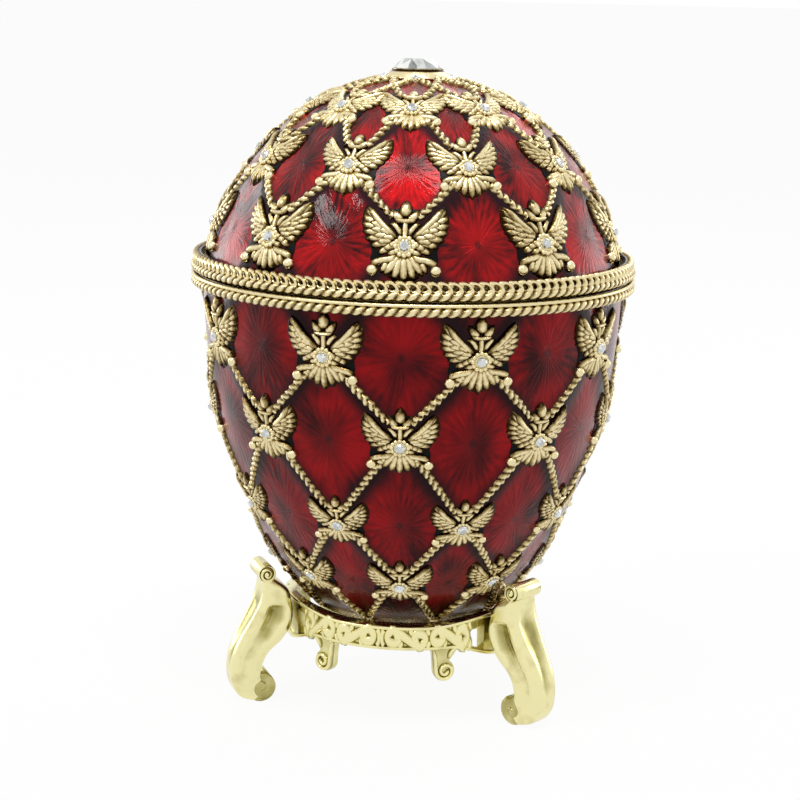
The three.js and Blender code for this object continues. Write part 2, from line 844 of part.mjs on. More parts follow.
// Leg stations from its shoulder to its foot: how far its outer and inner faces stand from the
// gallery's outside, their heights, half its width there, and the share of the panel's depth.
const legStations = [
  { outer: [5.7, 22.6], inner: [3.7, 22.4], half: 3.1, sunk: 0 },
  { outer: [5.4, 21], inner: [0.8, 20.3], half: 3.8, sunk: 0 },
  { outer: [5.8, 18.9], inner: [clearance, 18.1], half: 3.9, sunk: 0 },
  { outer: [6.4, 17.2], inner: [clearance, 16], half: 3.8, sunk: 1 },
  { outer: [7.6, 14.7], inner: [clearance, 13.6], half: 3.65, sunk: 1 },
  { outer: [9.2, 11.9], inner: [1.6, 11.2], half: 3.4, sunk: 1 },
  { outer: [10.3, 9.2], inner: [4.1, 9.1], half: 3.1, sunk: 1 },
  { outer: [10.7, 7], inner: [5.1, 7.4], half: 2.9, sunk: 0.7 },
  { outer: [10.7, 5.2], inner: [5.3, 5.8], half: 2.75, sunk: 0 },
  { outer: [10, 2.9], inner: [5.2, 4.2], half: 2.65, sunk: 0 },
  { outer: [8.7, 1.2], inner: [5, 3.2], half: 2.6, sunk: 0 },
  { outer: [7.2, 0.3], inner: [5, 2.6], half: 2.6, sunk: 0 },
];
const rollPlace = [4.9, 23.3]; // roll's centre, from the gallery's outside, and its height
const footPlace = [5.7, footRadius - footSink];

function legSection({ outer, inner, half, sunk }) {
  const face = new THREE.Vector3(0, -galleryRadius - outer[0], outer[1]);
  const back = new THREE.Vector3(0, -galleryRadius - inner[0], inner[1]);
  const inward = back.clone().sub(face).normalize();
  const at = (across, depth) =>
    new THREE.Vector3(across, 0, 0).add(face).addScaledVector(inward, depth);
  const panel = half - legBorder;
  const depth = sunk * panelDepth;
  const right = [
    at(panel - legBevel, depth),
    at(panel, 0),
    at(half - legBevel, 0),
    at(half, legBevel),
    new THREE.Vector3(half, 0, 0).add(back),
  ];
  const left = right.map((p) => new THREE.Vector3(-p.x, p.y, p.z)).reverse();
  return [...right, ...left];
}

function leg() {
  const body = loft(legStations.map(legSection));
  const [rollOut, rollZ] = rollPlace;
  const [footOut, footZ] = footPlace;
  const rollY = -galleryRadius - rollOut;
  const footY = -galleryRadius - footOut;
  const floor = block(
    [-footWidth, footY - 4 * footRadius, -4 * footRadius],
    [footWidth, footY + 4 * footRadius, 0],
  );
  const scrolls = [
    bar(rollRadius, rollWidth, scrollSides, 0, rollY, rollZ),
    bar(rollEye, rollWidth + 2 * eyeProud, eyeSides, 0, rollY, rollZ),
    bar(footRadius, footWidth, scrollSides, 0, footY, footZ),
    bar(footEye, footWidth + 2 * eyeProud, eyeSides, 0, footY, footZ),
  ];
  return cut(joined(body, ...scrolls), floor);
}

// Assembly
const stand = new THREE.Group();
stand.rotation.z = standTurn * degrees;
stand.add(piece("gallery_ring", galleryRing(), standGilt));
const legBody = leg();
["front_right_leg", "rear_leg", "front_left_leg"].forEach((name, i) => {
  const mesh = piece(name, legBody, standGilt);
  mesh.rotation.z = (i + 0.5) * sideAngle * degrees;
  stand.add(mesh);
});

const bowl = new THREE.Group();
bowl.position.z = seamHeight;
bowl.add(
  piece("bowl_shell", shell(bowlCurve, -shellEdge, 10, 5), enamel),
  piece("bowl_trellis", bowlTrellis(), eggGilt),
  piece("bowl_rim", bowlRim(), eggGilt),
  piece("bowl_hinge_leaf", bowlLeaf(), eggGilt),
  piece("hinge_pin", hingePin(), steel),
  piece("bowl_magnet", magnet(-1), steel),
  ...crystalRow("bowl_crystal_a", bowlCurve, bowlRows[0]),
  ...crystalRow("bowl_crystal_b", bowlCurve, bowlRows[1]),
);

const lid = new THREE.Group();
lid.position.z = seamHeight;
lid.add(
  piece("lid_shell", shell(lidCurve, shellEdge, 8, 4), enamel),
  piece("lid_trellis", lidTrellis(), eggGilt),
  piece("lid_rim", lidRim(), eggGilt),
  piece("lid_hinge_leaf", lidLeaf(), eggGilt),
  piece("lid_magnet", magnet(1), steel),
  piece("finial_bezel", finialBezel(), eggGilt),
  piece("finial_crystal", finialCrystal(), crystal),
  ...crystalRow("lid_crystal_a", lidCurve, lidRows[0]),
  ...crystalRow("lid_crystal_b", lidCurve, lidRows[1]),
);

const group = new THREE.Group();
group.add(stand, bowl, lid);

export default group;
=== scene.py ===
"""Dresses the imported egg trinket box: enamel, gilt trellis, crystals, rope bands, hinge and legged stand.

Sizes are in millimetres until a mesh is made, when they become metres. An azimuth is measured from the
front of the egg: 0 is -Y and a quarter turn is +X.
"""

import logging
import math
from dataclasses import dataclass, replace
from enum import Enum
from typing import Callable, Optional, Sequence

import bpy
import numpy as np
from mathutils import Matrix, Vector


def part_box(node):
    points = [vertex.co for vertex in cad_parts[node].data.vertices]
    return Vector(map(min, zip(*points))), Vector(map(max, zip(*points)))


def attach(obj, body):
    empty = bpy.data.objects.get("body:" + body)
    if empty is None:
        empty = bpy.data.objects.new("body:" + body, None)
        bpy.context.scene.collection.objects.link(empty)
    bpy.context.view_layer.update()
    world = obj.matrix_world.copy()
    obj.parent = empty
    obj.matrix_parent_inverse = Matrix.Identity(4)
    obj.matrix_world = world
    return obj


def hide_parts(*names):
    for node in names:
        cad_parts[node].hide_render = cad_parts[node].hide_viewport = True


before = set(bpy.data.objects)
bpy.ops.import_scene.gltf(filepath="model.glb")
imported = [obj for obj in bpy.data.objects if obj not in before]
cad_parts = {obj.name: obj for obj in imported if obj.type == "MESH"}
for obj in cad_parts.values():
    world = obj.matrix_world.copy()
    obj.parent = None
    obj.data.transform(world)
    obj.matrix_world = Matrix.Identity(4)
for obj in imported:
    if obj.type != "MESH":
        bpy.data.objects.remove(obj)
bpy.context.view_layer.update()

log = logging.getLogger("egg_box")

Array = np.ndarray
Socket = bpy.types.NodeSocket
Place = tuple[float, float]
MM = 0.001  # in metres
TAU = 2 * math.pi
WHITE = (1.0, 1.0, 1.0, 1.0)
COLUMNS = 9  # ornaments in a row
STEP = TAU / COLUMNS
SEAM_GAP = 0.15  # from the seam to each rim
UNDER = 0.15  # how far ornaments reach into the enamel that they sit on


class Body(str, Enum):
    """The bodies that a piece can ride on."""

    STAND = "stand"
    BOWL = "bowl"
    LID = "lid"


class Slot(str, Enum):
    """The record's material slots."""

    ENAMEL = "red_enamel"
    EGG_GILT = "egg_gilt"
    STAND_GILT = "stand_gilt"
    CRYSTAL = "clear_crystal"
    STEEL = "steel"


@dataclass
class Surface:
    """Points with the faces between them.

    Attributes:
        points: (n, 3) places in millimetres.
        faces: arrays of corner indices, each (m, k) for faces of k corners.
        tone: (n,) 0 in a recess to 1 on a crest, which paints shade into the finish's colour in the recesses.
    """

    points: Array
    faces: list[Array]
    tone: Array

    def mapped(self, place: Callable[[Array], Array]) -> "Surface":
        """The same faces with every point moved by a function of the (n, 3) array."""
        return Surface(place(self.points), self.faces, self.tone)

    def moved(self, shift: Sequence[float], scale: float | Sequence[float] = 1.0) -> "Surface":
        """The same surface, scaled about the origin and then shifted."""
        return self.mapped(lambda points: points * scale + shift)

    def shaded(self, tone: float) -> "Surface":
        """The same surface with one tone all over."""
        return Surface(self.points, self.faces, np.full(len(self.points), tone))

    def turned_by(self, turn: float) -> "Surface":
        """The same surface turned about the Z axis, by radians of azimuth."""
        c, s = math.cos(turn), math.sin(turn)
        return self.mapped(lambda points: points @ np.array([[c, s, 0], [-s, c, 0], [0, 0, 1]]))

    def shade_deepened(self, power: float) -> "Surface":
        """The same surface with its tones raised to a power, which leaves only the crests bright."""
        # Raising the tone to a power paints deeper shade over all but the crests.
        return Surface(self.points, self.faces, self.tone**power)

    def outward(self) -> "Surface":
        """Turns the faces of a closed surface outwards, by the sign of its volume.

        Returns:
            The surface, its faces reversed if they enclosed a negative volume.
        """
        volume = 0.0
        for corners in self.faces:
            first = self.points[corners[:, 0]]
            for k in range(1, corners.shape[1] - 1):
                second, third = self.points[corners[:, k]], self.points[corners[:, k + 1]]
                volume += float(np.einsum("ij,ij->", first, np.cross(second, third)))
        if volume >= 0:
            return self
        return Surface(self.points, [corners[:, ::-1] for corners in self.faces], self.tone)


def joined(parts: Sequence[Surface]) -> Surface:
    """Puts several surfaces into one.

    Args:
        parts: the surfaces, in order.
    Returns:
        One surface with all their points and faces.
    """
    starts = np.cumsum([0] + [len(part.points) for part in parts[:-1]])
    faces = [corners + start for part, start in zip(parts, starts) for corners in part.faces]
    points = np.vstack([part.points for part in parts])
    return Surface(points, faces, np.concatenate([part.tone for part in parts]))


def grid_faces(rows: int, columns: int, loop_rows: bool = False, loop_columns: bool = False) -> Array:
    """Corner indices of the quads of a grid of points stored row by row.

    Args:
        rows: points along the first parameter.
        columns: points along the second parameter.
        loop_rows: whether the last row joins the first.
        loop_columns: whether the last column joins the first.
    Returns:
        An (m, 4) array.
    """
    i = np.arange(rows if loop_rows else rows - 1)[:, None]
    j = np.arange(columns if loop_columns else columns - 1)[None, :]
    k, l = (i + 1) % rows, (j + 1) % columns
    corners = [i * columns + j, i * columns + l, k * columns + l, k * columns + j]
    return np.stack([np.broadcast_to(c, (i.size, j.size)).ravel() for c in corners], axis=1)


def tube(points: Array, tone: Array, loop: bool = False) -> Surface:
    """A closed body through a row of closed rings, with flat ends unless it loops.

    Args:
        points: (rings, sides, 3) places.
        tone: (rings, sides) values.
        loop: whether the last ring joins the first.
    Returns:
        The body's surface.
    """
    rings, sides = points.shape[:2]
    faces = [grid_faces(rings, sides, loop_rows=loop, loop_columns=True)]
    if not loop:
        ring = np.arange(sides)[None, :]
        faces += [ring[:, ::-1], (rings - 1) * sides + ring]
    return Surface(points.reshape(-1, 3), faces, tone.ravel())


def spline(points: Sequence[Sequence[float]], count: int) -> Array:
    """A Catmull-Rom curve through points, at even steps of its parameter.

    Args:
        points: the places that it runs through, in order.
        count: how many places to return.
    Returns:
        A (count, dimensions) array.
    """
    p = np.asarray(points, float)
    p = np.vstack([2 * p[0] - p[1], p, 2 * p[-1] - p[-2]])
    t = np.linspace(0, len(points) - 1, count)
    i = np.minimum(t.astype(int), len(points) - 2)
    f = (t - i)[:, None]
    a, b, c, d = p[i], p[i + 1], p[i + 2], p[i + 3]
    return 0.5 * (2 * b + (c - a) * f + (2 * a - 5 * b + 4 * c - d) * f**2 + (3 * b - a - 3 * c + d) * f**3)


def smooth_step(x: Array) -> Array:
    """0 below 0, 1 above 1 and 3x^2 - 2x^3 between."""
    t = np.clip(x, 0, 1)
    return t * t * (3 - 2 * t)


def around(radius: Array, azimuth: Array, height: Array) -> Array:
    """Places at a radius from the Z axis, an azimuth from the front and a height."""
    radius, azimuth, height = np.broadcast_arrays(radius, azimuth, height)
    return np.stack([radius * np.sin(azimuth), -radius * np.cos(azimuth), height], axis=-1)


def swept(profile: Sequence[tuple[float, float]], steps: int, gap: float = 0.0) -> Surface:
    """A closed profile of (radius, height) turned about the Z axis.

    Args:
        profile: corners of the section, in order.
        steps: how many places along the turn.
        gap: half the angle left open at the rear, or 0 for a whole ring.
    Returns:
        The ring, with flat ends where it is open.
    """
    section = np.asarray(profile, float)
    if gap:
        azimuth = np.linspace(gap - math.pi, math.pi - gap, steps)[:, None]
    else:
        azimuth = (np.arange(steps) * TAU / steps)[:, None]
    points = around(section[None, :, 0], azimuth, section[None, :, 1])
    return tube(points, np.ones(points.shape[:2]), loop=not gap).outward()


def turned(profile: Sequence[tuple[float, float]], steps: int) -> Surface:
    """A profile that starts and ends on the Z axis, turned about it.

    Args:
        profile: (radius, height) from the lower end to the upper end, both at radius 0.
        steps: facets round.
    Returns:
        The closed body.
    """
    section = np.asarray(profile[1:-1], float)
    azimuth = (np.arange(steps) * TAU / steps)[None, :]
    points = around(section[:, :1], azimuth, section[:, 1:]).reshape(-1, 3)
    ends = np.array([[0, 0, profile[0][1]], [0, 0, profile[-1][1]]], float)
    low, high = len(points), len(points) + 1
    here = np.arange(steps)
    then = (here + 1) % steps
    last = (len(section) - 1) * steps
    faces = [
        grid_faces(len(section), steps, loop_columns=True),
        np.stack([then, here, np.full(steps, low)], axis=1),
        np.stack([last + here, last + then, np.full(steps, high)], axis=1),
    ]
    return Surface(np.vstack([points, ends]), faces, np.ones(len(points) + 2)).outward()


def bar(radius: float, low: float, high: float, soft: float, steps: int, bore: float = 0.0) -> Surface:
    """A round bar along the Z axis with eased rims.

    Args:
        radius: of the bar.
        low: height of its lower end.
        high: height of its upper end.
        soft: how far its rims are eased.
        steps: facets round.
        bore: radius of the hole through it, or 0.
    Returns:
        The closed body.
    """
    profile = [(bore, low), (radius - soft, low), (radius, low + soft), (radius, high - soft)]
    profile += [(radius - soft, high), (bore, high)]
    return swept(profile, steps) if bore else turned(profile, steps)


def prism(low: Sequence[tuple], high: Sequence[tuple]) -> Surface:
    """The body between two polygons with as many (x, y, z) corners, which need not be level."""
    rings = np.asarray([low, high], float)
    return tube(rings, np.ones(rings.shape[:2])).outward()


def cut_stone(levels: Sequence[tuple[float, float, float]], sides: int) -> Surface:
    """A faceted stone: rings of corners with facets between them and a flat at both ends.

    Where a ring is turned by half a facet against the one below it, triangles join them, else quads.

    Args:
        levels: for each ring its radius, its height and its turn, counted in facets.
        sides: facets round.
    Returns:
        The closed body.
    """
    turn = np.arange(sides) * TAU / sides
    rings = [around(radius, turn + shift * TAU / sides, height) for radius, height, shift in levels]
    here = np.arange(sides)
    then = (here + 1) % sides
    faces = []
    for n, (below, above) in enumerate(zip(levels, levels[1:])):
        a, b, c, d = (start + corner for start in (n * sides, (n + 1) * sides) for corner in (here, then))
        if above[2] > below[2]:
            facets = [(a, b, c), (b, d, c)]
        elif above[2] < below[2]:
            facets = [(a, d, c), (a, b, d)]
        else:
            facets = [(a, b, d, c)]
        faces += [np.stack(facet, axis=1) for facet in facets]
    faces += [here[None, ::-1], (len(levels) - 1) * sides + here[None, :]]
    return Surface(np.vstack(rings), faces, np.ones(len(rings) * sides)).outward()


@dataclass(frozen=True)
class EggCurve:
    """Half an ellipsoid of revolution: the enamel of the bowl or of the lid.

    Attributes:
        radius: at its widest level.
        reach: from that level to the pole.
        level: height of that level.
        way: 1 where the pole is above it, -1 where it is below.
        seam: height of the joint between bowl and lid.
    """

    radius: float
    reach: float
    level: float
    way: int
    seam: float

    def latitude(self, above_seam: Array) -> Array:
        """Latitude, towards the pole, of a height above the seam."""
        return np.arcsin(np.clip(self.way * (above_seam + self.seam - self.level) / self.reach, -1, 1))

    def meridian(self, angle: Array, lift: Array = 0.0) -> tuple[Array, Array]:
        """Radius and height at a latitude: r = R cos a and z = level + reach sin a, moved along the normal.

        Args:
            angle: the latitude.
            lift: how far outside the enamel.
        Returns:
            Both arrays.
        """
        across = np.cos(angle) / self.radius
        along = self.way * np.sin(angle) / self.reach
        scale = lift / np.hypot(across, along)
        radius = self.radius * np.cos(angle) + across * scale
        return radius, self.level + self.way * self.reach * np.sin(angle) + along * scale

    def point(self, azimuth: Array, angle: Array, lift: Array = 0.0) -> Array:
        """Place at an azimuth and a latitude, lifted along the normal."""
        radius, height = self.meridian(angle, lift)
        return around(radius, azimuth, height)

    def rate(self, angle: Array) -> Array:
        """Millimetres along the meridian for one radian of latitude."""
        return np.hypot(self.radius * np.sin(angle), self.reach * np.cos(angle))

    def radius_at(self, height: Array, lift: float) -> Array:
        """Radius of the surface that lies outside the enamel, found by repeated correction.

        Args:
            height: where it is wanted.
            lift: how far outside the enamel.
        Returns:
            The radius at each height.
        """
        corrections = 8
        foot = np.asarray(height, float)
        for _ in range(corrections):
            foot = foot + height - self.meridian(self.latitude(foot - self.seam), lift)[1]
        return self.meridian(self.latitude(foot - self.seam), lift)[0]


@dataclass(frozen=True)
class Row:
    """One row of ornaments round the egg.

    Attributes:
        at: height of their middles above the seam.
        width: of an ornament.
        tall: of an ornament, along the meridian.
        index: the row's number in the trellis, whose odd rows are staggered by half a step.
    """

    at: float
    width: float
    tall: float
    index: int

    def azimuth(self, column: int) -> float:
        """Azimuth of an ornament's middle."""
        return (column + 0.5 * (self.index % 2)) * STEP


@dataclass(frozen=True)
class Stroke:
    """One raised leaf, stem or scroll of a relief.

    Attributes:
        path: places (x, y) that its middle line runs through.
        width: at its widest.
        height: of its crest above its base.
        base: height of its base.
        start: share of its length over which its first end rounds off.
        end: the same for its last end.
    """

    path: tuple[tuple[float, float], ...]
    width: float
    height: float
    base: float = 0.0
    start: float = 0.25
    end: float = 0.6

    def mirrored(self) -> "Stroke":
        """The same stroke on the other side of the Y axis."""
        return replace(self, path=tuple((-x, y) for x, y in self.path))

    def surface(self, steps: int = 9, sides: int = 7) -> Surface:
        """A half-oval section carried along the path, as points (x, y, height).

        Args:
            steps: rings along it.
            sides: points of a ring.
        Returns:
            The closed body.
        """
        middle = spline(self.path, steps)
        along = np.gradient(middle, axis=0)
        along /= np.linalg.norm(along, axis=1)[:, None]
        side = np.stack([-along[:, 1], along[:, 0]], axis=1)
        t = np.linspace(0, 1, steps)
        least = 0.004  # so that the rings at its ends keep a size
        swell = np.sqrt(np.clip(np.minimum(t / self.start, (1 - t) / self.end), least, 1))
        turn = np.linspace(0, math.pi, sides)
        across = np.cos(turn)[None, :] * swell[:, None] * self.width / 2
        flat = middle[:, None, :] + side[:, None, :] * across[..., None]
        # The crest, 0 along the stroke's foot and 1 on its top, becomes the tone, which paints shade along
        # the foot.
        crest = np.sin(turn)[None, :] * swell[:, None]
        height = self.base - UNDER + crest * (self.height + UNDER)
        points = np.concatenate([flat, height[..., None]], axis=2)
        return tube(points, crest)


def both(strokes: Sequence[Stroke]) -> list[Stroke]:
    """The strokes and their mirror images."""
    return list(strokes) + [stroke.mirrored() for stroke in strokes]


def plate(outline: Sequence[tuple[float, float]], top: float, tone: float, base: float = -UNDER) -> Surface:
    """A flat plate with a smooth closed outline and an eased upper edge, as points (x, y, height).

    Args:
        outline: places that the outline runs through, in order.
        top: height of its upper face.
        tone: all over it.
        base: height of its lower face.
    Returns:
        The closed body.
    """
    loop = np.asarray(outline, float)
    per, ahead = 4, 3  # steps between corners, and corners repeated so that the curve closes smoothly
    edge = spline(np.vstack([loop[-ahead:], loop, loop[:ahead]]), (len(loop) + 2 * ahead - 1) * per + 1)
    edge = edge[ahead * per:(ahead + len(loop)) * per]
    middle = edge.mean(axis=0)
    # Rings from the middle of the top out to its eased edge, down the side and back under it.
    shares = np.array([0.02, 0.5, 0.92, 1.0, 1.0, 0.02])[:, None, None]
    lifts = np.array([top, top, top, top - 0.3 * (top - base), base, base])[:, None, None]
    flat = middle + (edge - middle)[None] * shares
    points = np.concatenate([flat, np.broadcast_to(lifts, flat.shape[:2] + (1,))], axis=2)
    return tube(points, np.full(points.shape[:2], tone))


def bezier(first: Place, second: Place, third: Place, t: Array) -> Array:
    """A quadratic curve: a (1 - t)^2 + 2 b t (1 - t) + c t^2.

    Args:
        first: the control point a, where it starts.
        second: the control point b.
        third: the control point c, where it ends.
        t: (n,) shares of the way.
    Returns:
        (n, 2) places.
    """
    a, b, c = (np.asarray(point, float)[None, :] for point in (first, second, third))
    s = np.asarray(t, float)[:, None]
    return a * (1 - s) ** 2 + 2 * b * s * (1 - s) + c * s**2


def srgb(text: str) -> tuple[float, float, float, float]:
    """A colour written as sRGB hex, as linear red, green, blue and alpha.

    Args:
        text: six hex digits, with or without a leading mark.
    Returns:
        The four numbers that a colour socket takes.
    """
    values = [int(text.lstrip("#")[i:i + 2], 16) / 255 for i in (0, 2, 4)]
    linear = [v / 12.92 if v <= 0.04045 else ((v + 0.055) / 1.055) ** 2.4 for v in values]
    return (*linear, 1.0)


class Nodes:
    """The node tree of a new material or world.

    Attributes:
        owner: the material or world.
        tree: its nodes and links.
    """

    def __init__(self, owner: bpy.types.Material | bpy.types.World) -> None:
        """Switches the owner's nodes on.

        Args:
            owner: the new material or world.
        """
        self.owner = owner
        self.owner.use_nodes = True
        self.tree = owner.node_tree

    def add(self, kind: str, inputs: Optional[dict] = None, **settings: object) -> bpy.types.Node:
        """Adds a node.

        Args:
            kind: its type, without the leading ShaderNode.
            inputs: for each input's name or index, a value or the output socket that feeds it.
            settings: its properties.
        Returns:
            The node.
        """
        node = self.tree.nodes.new("ShaderNode" + kind)
        for name, value in settings.items():
            setattr(node, name, value)
        self.feed(node, inputs or {})
        return node

    def feed(self, node: bpy.types.Node, inputs: dict) -> None:
        """Sets or links a node's inputs.

        Args:
            node: the node.
            inputs: for each input's name or index, a value or the output socket that feeds it.
        """
        for key, value in inputs.items():
            if isinstance(value, bpy.types.NodeSocket):
                self.tree.links.new(value, node.inputs[key])
            else:
                node.inputs[key].default_value = value

    def math(self, operation: str, *values: float | Socket) -> Socket:
        """The output of a Math node with the given operation and inputs."""
        return self.add("Math", dict(enumerate(values)), operation=operation).outputs[0]

    def length(self, x: Socket, y: Socket) -> Socket:
        """The square root of x^2 + y^2."""
        return self.math("SQRT", self.math("MULTIPLY_ADD", x, x, self.math("MULTIPLY", y, y)))

    def vector(self, *values: float | Socket) -> Socket:
        """The vector with up to three given parts."""
        return self.add("CombineXYZ", dict(enumerate(values))).outputs[0]

    def noise(self, place: Socket, scale: float, detail: float, roughness: float = 0.5) -> Socket:
        """The value of a noise texture at a place."""
        inputs = {"Vector": place, "Scale": scale, "Detail": detail, "Roughness": roughness}
        return self.add("TexNoise", inputs).outputs[0]

    def bump(self, height: Socket, distance: float, strength: float = 1.0) -> Socket:
        """The normal of a surface that rises by up to a distance in millimetres."""
        inputs = {"Height": height, "Distance": distance * MM, "Strength": strength}
        return self.add("Bump", inputs).outputs[0]

    def span(self, value: Socket, low: float, high: float, start: float, end: float, kind: str) -> Socket:
        """Maps low to high of a value to start to end, and holds it at both ends."""
        inputs = {"Value": value, "From Min": low, "From Max": high, "To Min": start, "To Max": end}
        return self.add("MapRange", inputs, interpolation_type=kind).outputs[0]

    def seen(self) -> Socket:
        """Tells the rays that show a thing from those that only light another.

        Returns:
            1 for a ray from the camera, through clear glass or off a mirror, else 0.
        """
        rays = self.add("LightPath").outputs
        direct = self.math("MAXIMUM", rays["Is Camera Ray"], rays["Is Transmission Ray"])
        return self.math("MAXIMUM", direct, rays["Is Glossy Ray"])

    def show(self, output: str, factor: Socket, first: Socket, second: Socket) -> None:
        """Mixes two shaders into the output node of a given name."""
        mix = self.add("MixShader", {0: factor, 1: first, 2: second})
        self.feed(self.tree.nodes[output], {"Surface": mix.outputs[0]})

    def ramp(self, value: Socket, *stops: tuple[float, str]) -> Socket:
        """A colour ramp.

        Args:
            value: what it is read at.
            stops: place and hex colour of each stop.
        Returns:
            The colour.
        """
        node = self.add("ValToRGB", {0: value})
        elements = node.color_ramp.elements
        while len(elements) < len(stops):
            elements.new(0.5)
        for element, (place, colour) in zip(elements, stops):
            element.position = place
            element.color = srgb(colour)
        return node.outputs[0]

    def finished(self, inputs: dict) -> bpy.types.Material:
        """Feeds the Principled shader and hands over the material."""
        self.feed(self.tree.nodes["Principled BSDF"], inputs)
        return self.owner


@dataclass(frozen=True, kw_only=True)
class Finish:
    """What a piece is finished with.

    Attributes:
        name: of the material.
        slot: the record's material slot; not used.
        smooth: the angle in degrees above which an edge stays sharp, or None for flat facets.
    """

    name: str
    slot: Slot
    smooth: Optional[float] = 50.0

    def material(self) -> bpy.types.Material:
        """Builds the material, each kind of finish in its own way."""
        raise NotImplementedError


@dataclass(frozen=True, kw_only=True)
class Gilding(Finish):
    """Gilt zinc alloy casting: a pale gold plate, bright on the crests and dull in the recesses.

    Attributes:
        crest: colour of the crests.
        middle: colour between.
        recess: colour of the recesses, where it paints shade.
        roughness: of the crests.
        grain: size of the casting's faint unevenness, in millimetres.
        relief: height of that unevenness, in millimetres.
        mottle: how much the unevenness dulls the colour.
        fog: size of the wider, fainter clouds in the plate, in millimetres.
    """

    crest: str
    middle: str
    recess: str
    roughness: float
    grain: float = 0.5
    relief: float = 0.06
    mottle: float = 0.9
    fog: float = 5.0

    def material(self) -> bpy.types.Material:
        """Builds the finish.

        Returns:
            The material.
        """
        nodes = Nodes(bpy.data.materials.new(self.name))
        place = nodes.add("TexCoord").outputs["Object"]
        tone = nodes.add("Attribute", attribute_name="tone").outputs["Fac"]
        cloud = nodes.noise(place, 1 / (self.grain * MM), 3.0)
        fog = nodes.noise(place, 1 / (self.fog * MM), 2.0)
        dull = nodes.math("MULTIPLY_ADD", fog, 0.4, nodes.math("MULTIPLY", cloud, self.mottle))
        # The tone paints shade into the recesses; the clouds dull the colour at random.
        shade = nodes.math("ADD", tone, nodes.math("SUBTRACT", dull, 0.2 + self.mottle / 2))
        colour = nodes.ramp(shade, (0.1, self.recess), (0.48, self.middle), (0.88, self.crest))
        rough = nodes.math("MULTIPLY_ADD", cloud, 0.12, self.roughness - 0.06)
        bump = nodes.bump(cloud, self.relief)
        return nodes.finished({"Base Color": colour, "Metallic": 1.0, "Roughness": rough, "Normal": bump})


@dataclass(frozen=True, kw_only=True)
class Guilloche(Finish):
    """Translucent red enamel over an engine-turned sunburst in each diamond of the trellis.

    Attributes:
        bright: colour over the crests of the engraving.
        deep: colour over its troughs.
        edge: colour where the enamel is thick, along the trellis.
        contrast: of the rays.
        gloss: weight of the clear coat.
        coat_ior: its refractive index.
        rays: in one sunburst.
    """

    bright: str
    deep: str
    edge: str
    contrast: float
    gloss: float
    coat_ior: float
    rays: int = 30

    def strokes(
        self, nodes: Nodes, rho: Socket, theta: Socket, seed: Socket, fine: float, along: float
    ) -> Socket:
        """Where a noise is read to give strokes that radiate.

        Args:
            nodes: the material's.
            rho: distance from the cell's middle.
            theta: direction from there.
            seed: the cell's own number.
            fine: how fast the noise changes round the cell.
            along: how fast it changes along a ray.
        Returns:
            The place.
        """
        across = (nodes.math("MULTIPLY", nodes.math(part, theta), fine) for part in ("COSINE", "SINE"))
        return nodes.vector(*across, nodes.math("MULTIPLY_ADD", rho, along, seed))

    def material(self) -> bpy.types.Material:
        """Builds the finish from the map named cell, which counts diamonds along both diagonals.

        Returns:
            The material.
        """
        nodes = Nodes(bpy.data.materials.new(self.name))
        cell = nodes.add("SeparateXYZ", {0: nodes.add("UVMap", uv_map="cell").outputs[0]}).outputs
        a, b = (nodes.math("SUBTRACT", nodes.math("FRACT", cell[i]), 0.5) for i in (0, 1))
        x, y = nodes.math("SUBTRACT", a, b), nodes.math("ADD", a, b)
        rho, theta = nodes.length(x, y), nodes.math("ARCTAN2", y, x)
        # The map wraps round the egg, so a cell's column is counted modulo the number of columns.
        first, second = (nodes.math("FLOOR", cell[i]) for i in (0, 1))
        column = nodes.math("FLOORED_MODULO", nodes.math("SUBTRACT", first, second), 2.0 * COLUMNS)
        row = nodes.math("ADD", first, second)
        seed = nodes.math("MULTIPLY_ADD", column, 3.7, nodes.math("MULTIPLY", row, 7.3))
        cloud = nodes.noise(nodes.vector(x, y, seed), 1.6, 1.0)
        flame = nodes.noise(self.strokes(nodes, rho, theta, seed, 4.2, 3.2), 1.6, 3.0, 0.6)
        drift = nodes.noise(self.strokes(nodes, rho, theta, seed, 1.2, 1.0), 1.3, 1.0)
        bend = nodes.math("MULTIPLY", drift, 9.0)
        wave = nodes.math("SINE", nodes.math("MULTIPLY_ADD", theta, float(self.rays), bend))
        sharp = nodes.math("MULTIPLY_ADD", nodes.math("SUBTRACT", flame, 0.5), 2.6, 0.5)
        ray = nodes.math("MULTIPLY_ADD", wave, 0.14, sharp)
        # The rays fade towards the middle, where the cell is darker, and each cell has its bright side.
        grow = nodes.span(rho, 0.06, 0.4, 0.1, 1.0, "LINEAR")
        patch = nodes.math("MULTIPLY_ADD", cloud, 1.9, -0.6)
        body = nodes.math("MULTIPLY_ADD", grow, 0.12, patch)
        strong = nodes.math("MULTIPLY", nodes.math("SUBTRACT", ray, 0.5), grow)
        light = nodes.math("MULTIPLY_ADD", strong, self.contrast, body)
        colour = nodes.ramp(light, (0.05, self.deep), (0.8, self.bright))
        # Dark are the thick enamel along the trellis, the boss in the middle and the painted shade that the
        # tone carries.
        wide = nodes.math("MAXIMUM", nodes.math("ABSOLUTE", a), nodes.math("ABSOLUTE", b))
        side = nodes.span(wide, 0.31, 0.48, 0.0, 1.0, "SMOOTHSTEP")
        boss = nodes.span(rho, 0.02, 0.07, 0.6, 0.0, "LINEAR")
        tone = nodes.add("Attribute", attribute_name="tone").outputs["Fac"]
        dark = nodes.math("MAXIMUM", nodes.math("MAXIMUM", side, boss), nodes.math("SUBTRACT", 1.0, tone))
        mixed = nodes.add("Mix", {"Factor": dark, 6: colour, 7: srgb(self.edge)}, data_type="RGBA")
        return nodes.finished({
            "Base Color": mixed.outputs[2],
            "Metallic": 0.8,
            "Roughness": 0.42,
            "Normal": nodes.bump(ray, 0.1, 0.6),
            "IOR": 1.25,
            "Coat Weight": self.gloss,
            "Coat Normal": nodes.bump(ray, 0.02),
            "Coat Roughness": 0.03,
            "Coat IOR": self.coat_ior,
        })


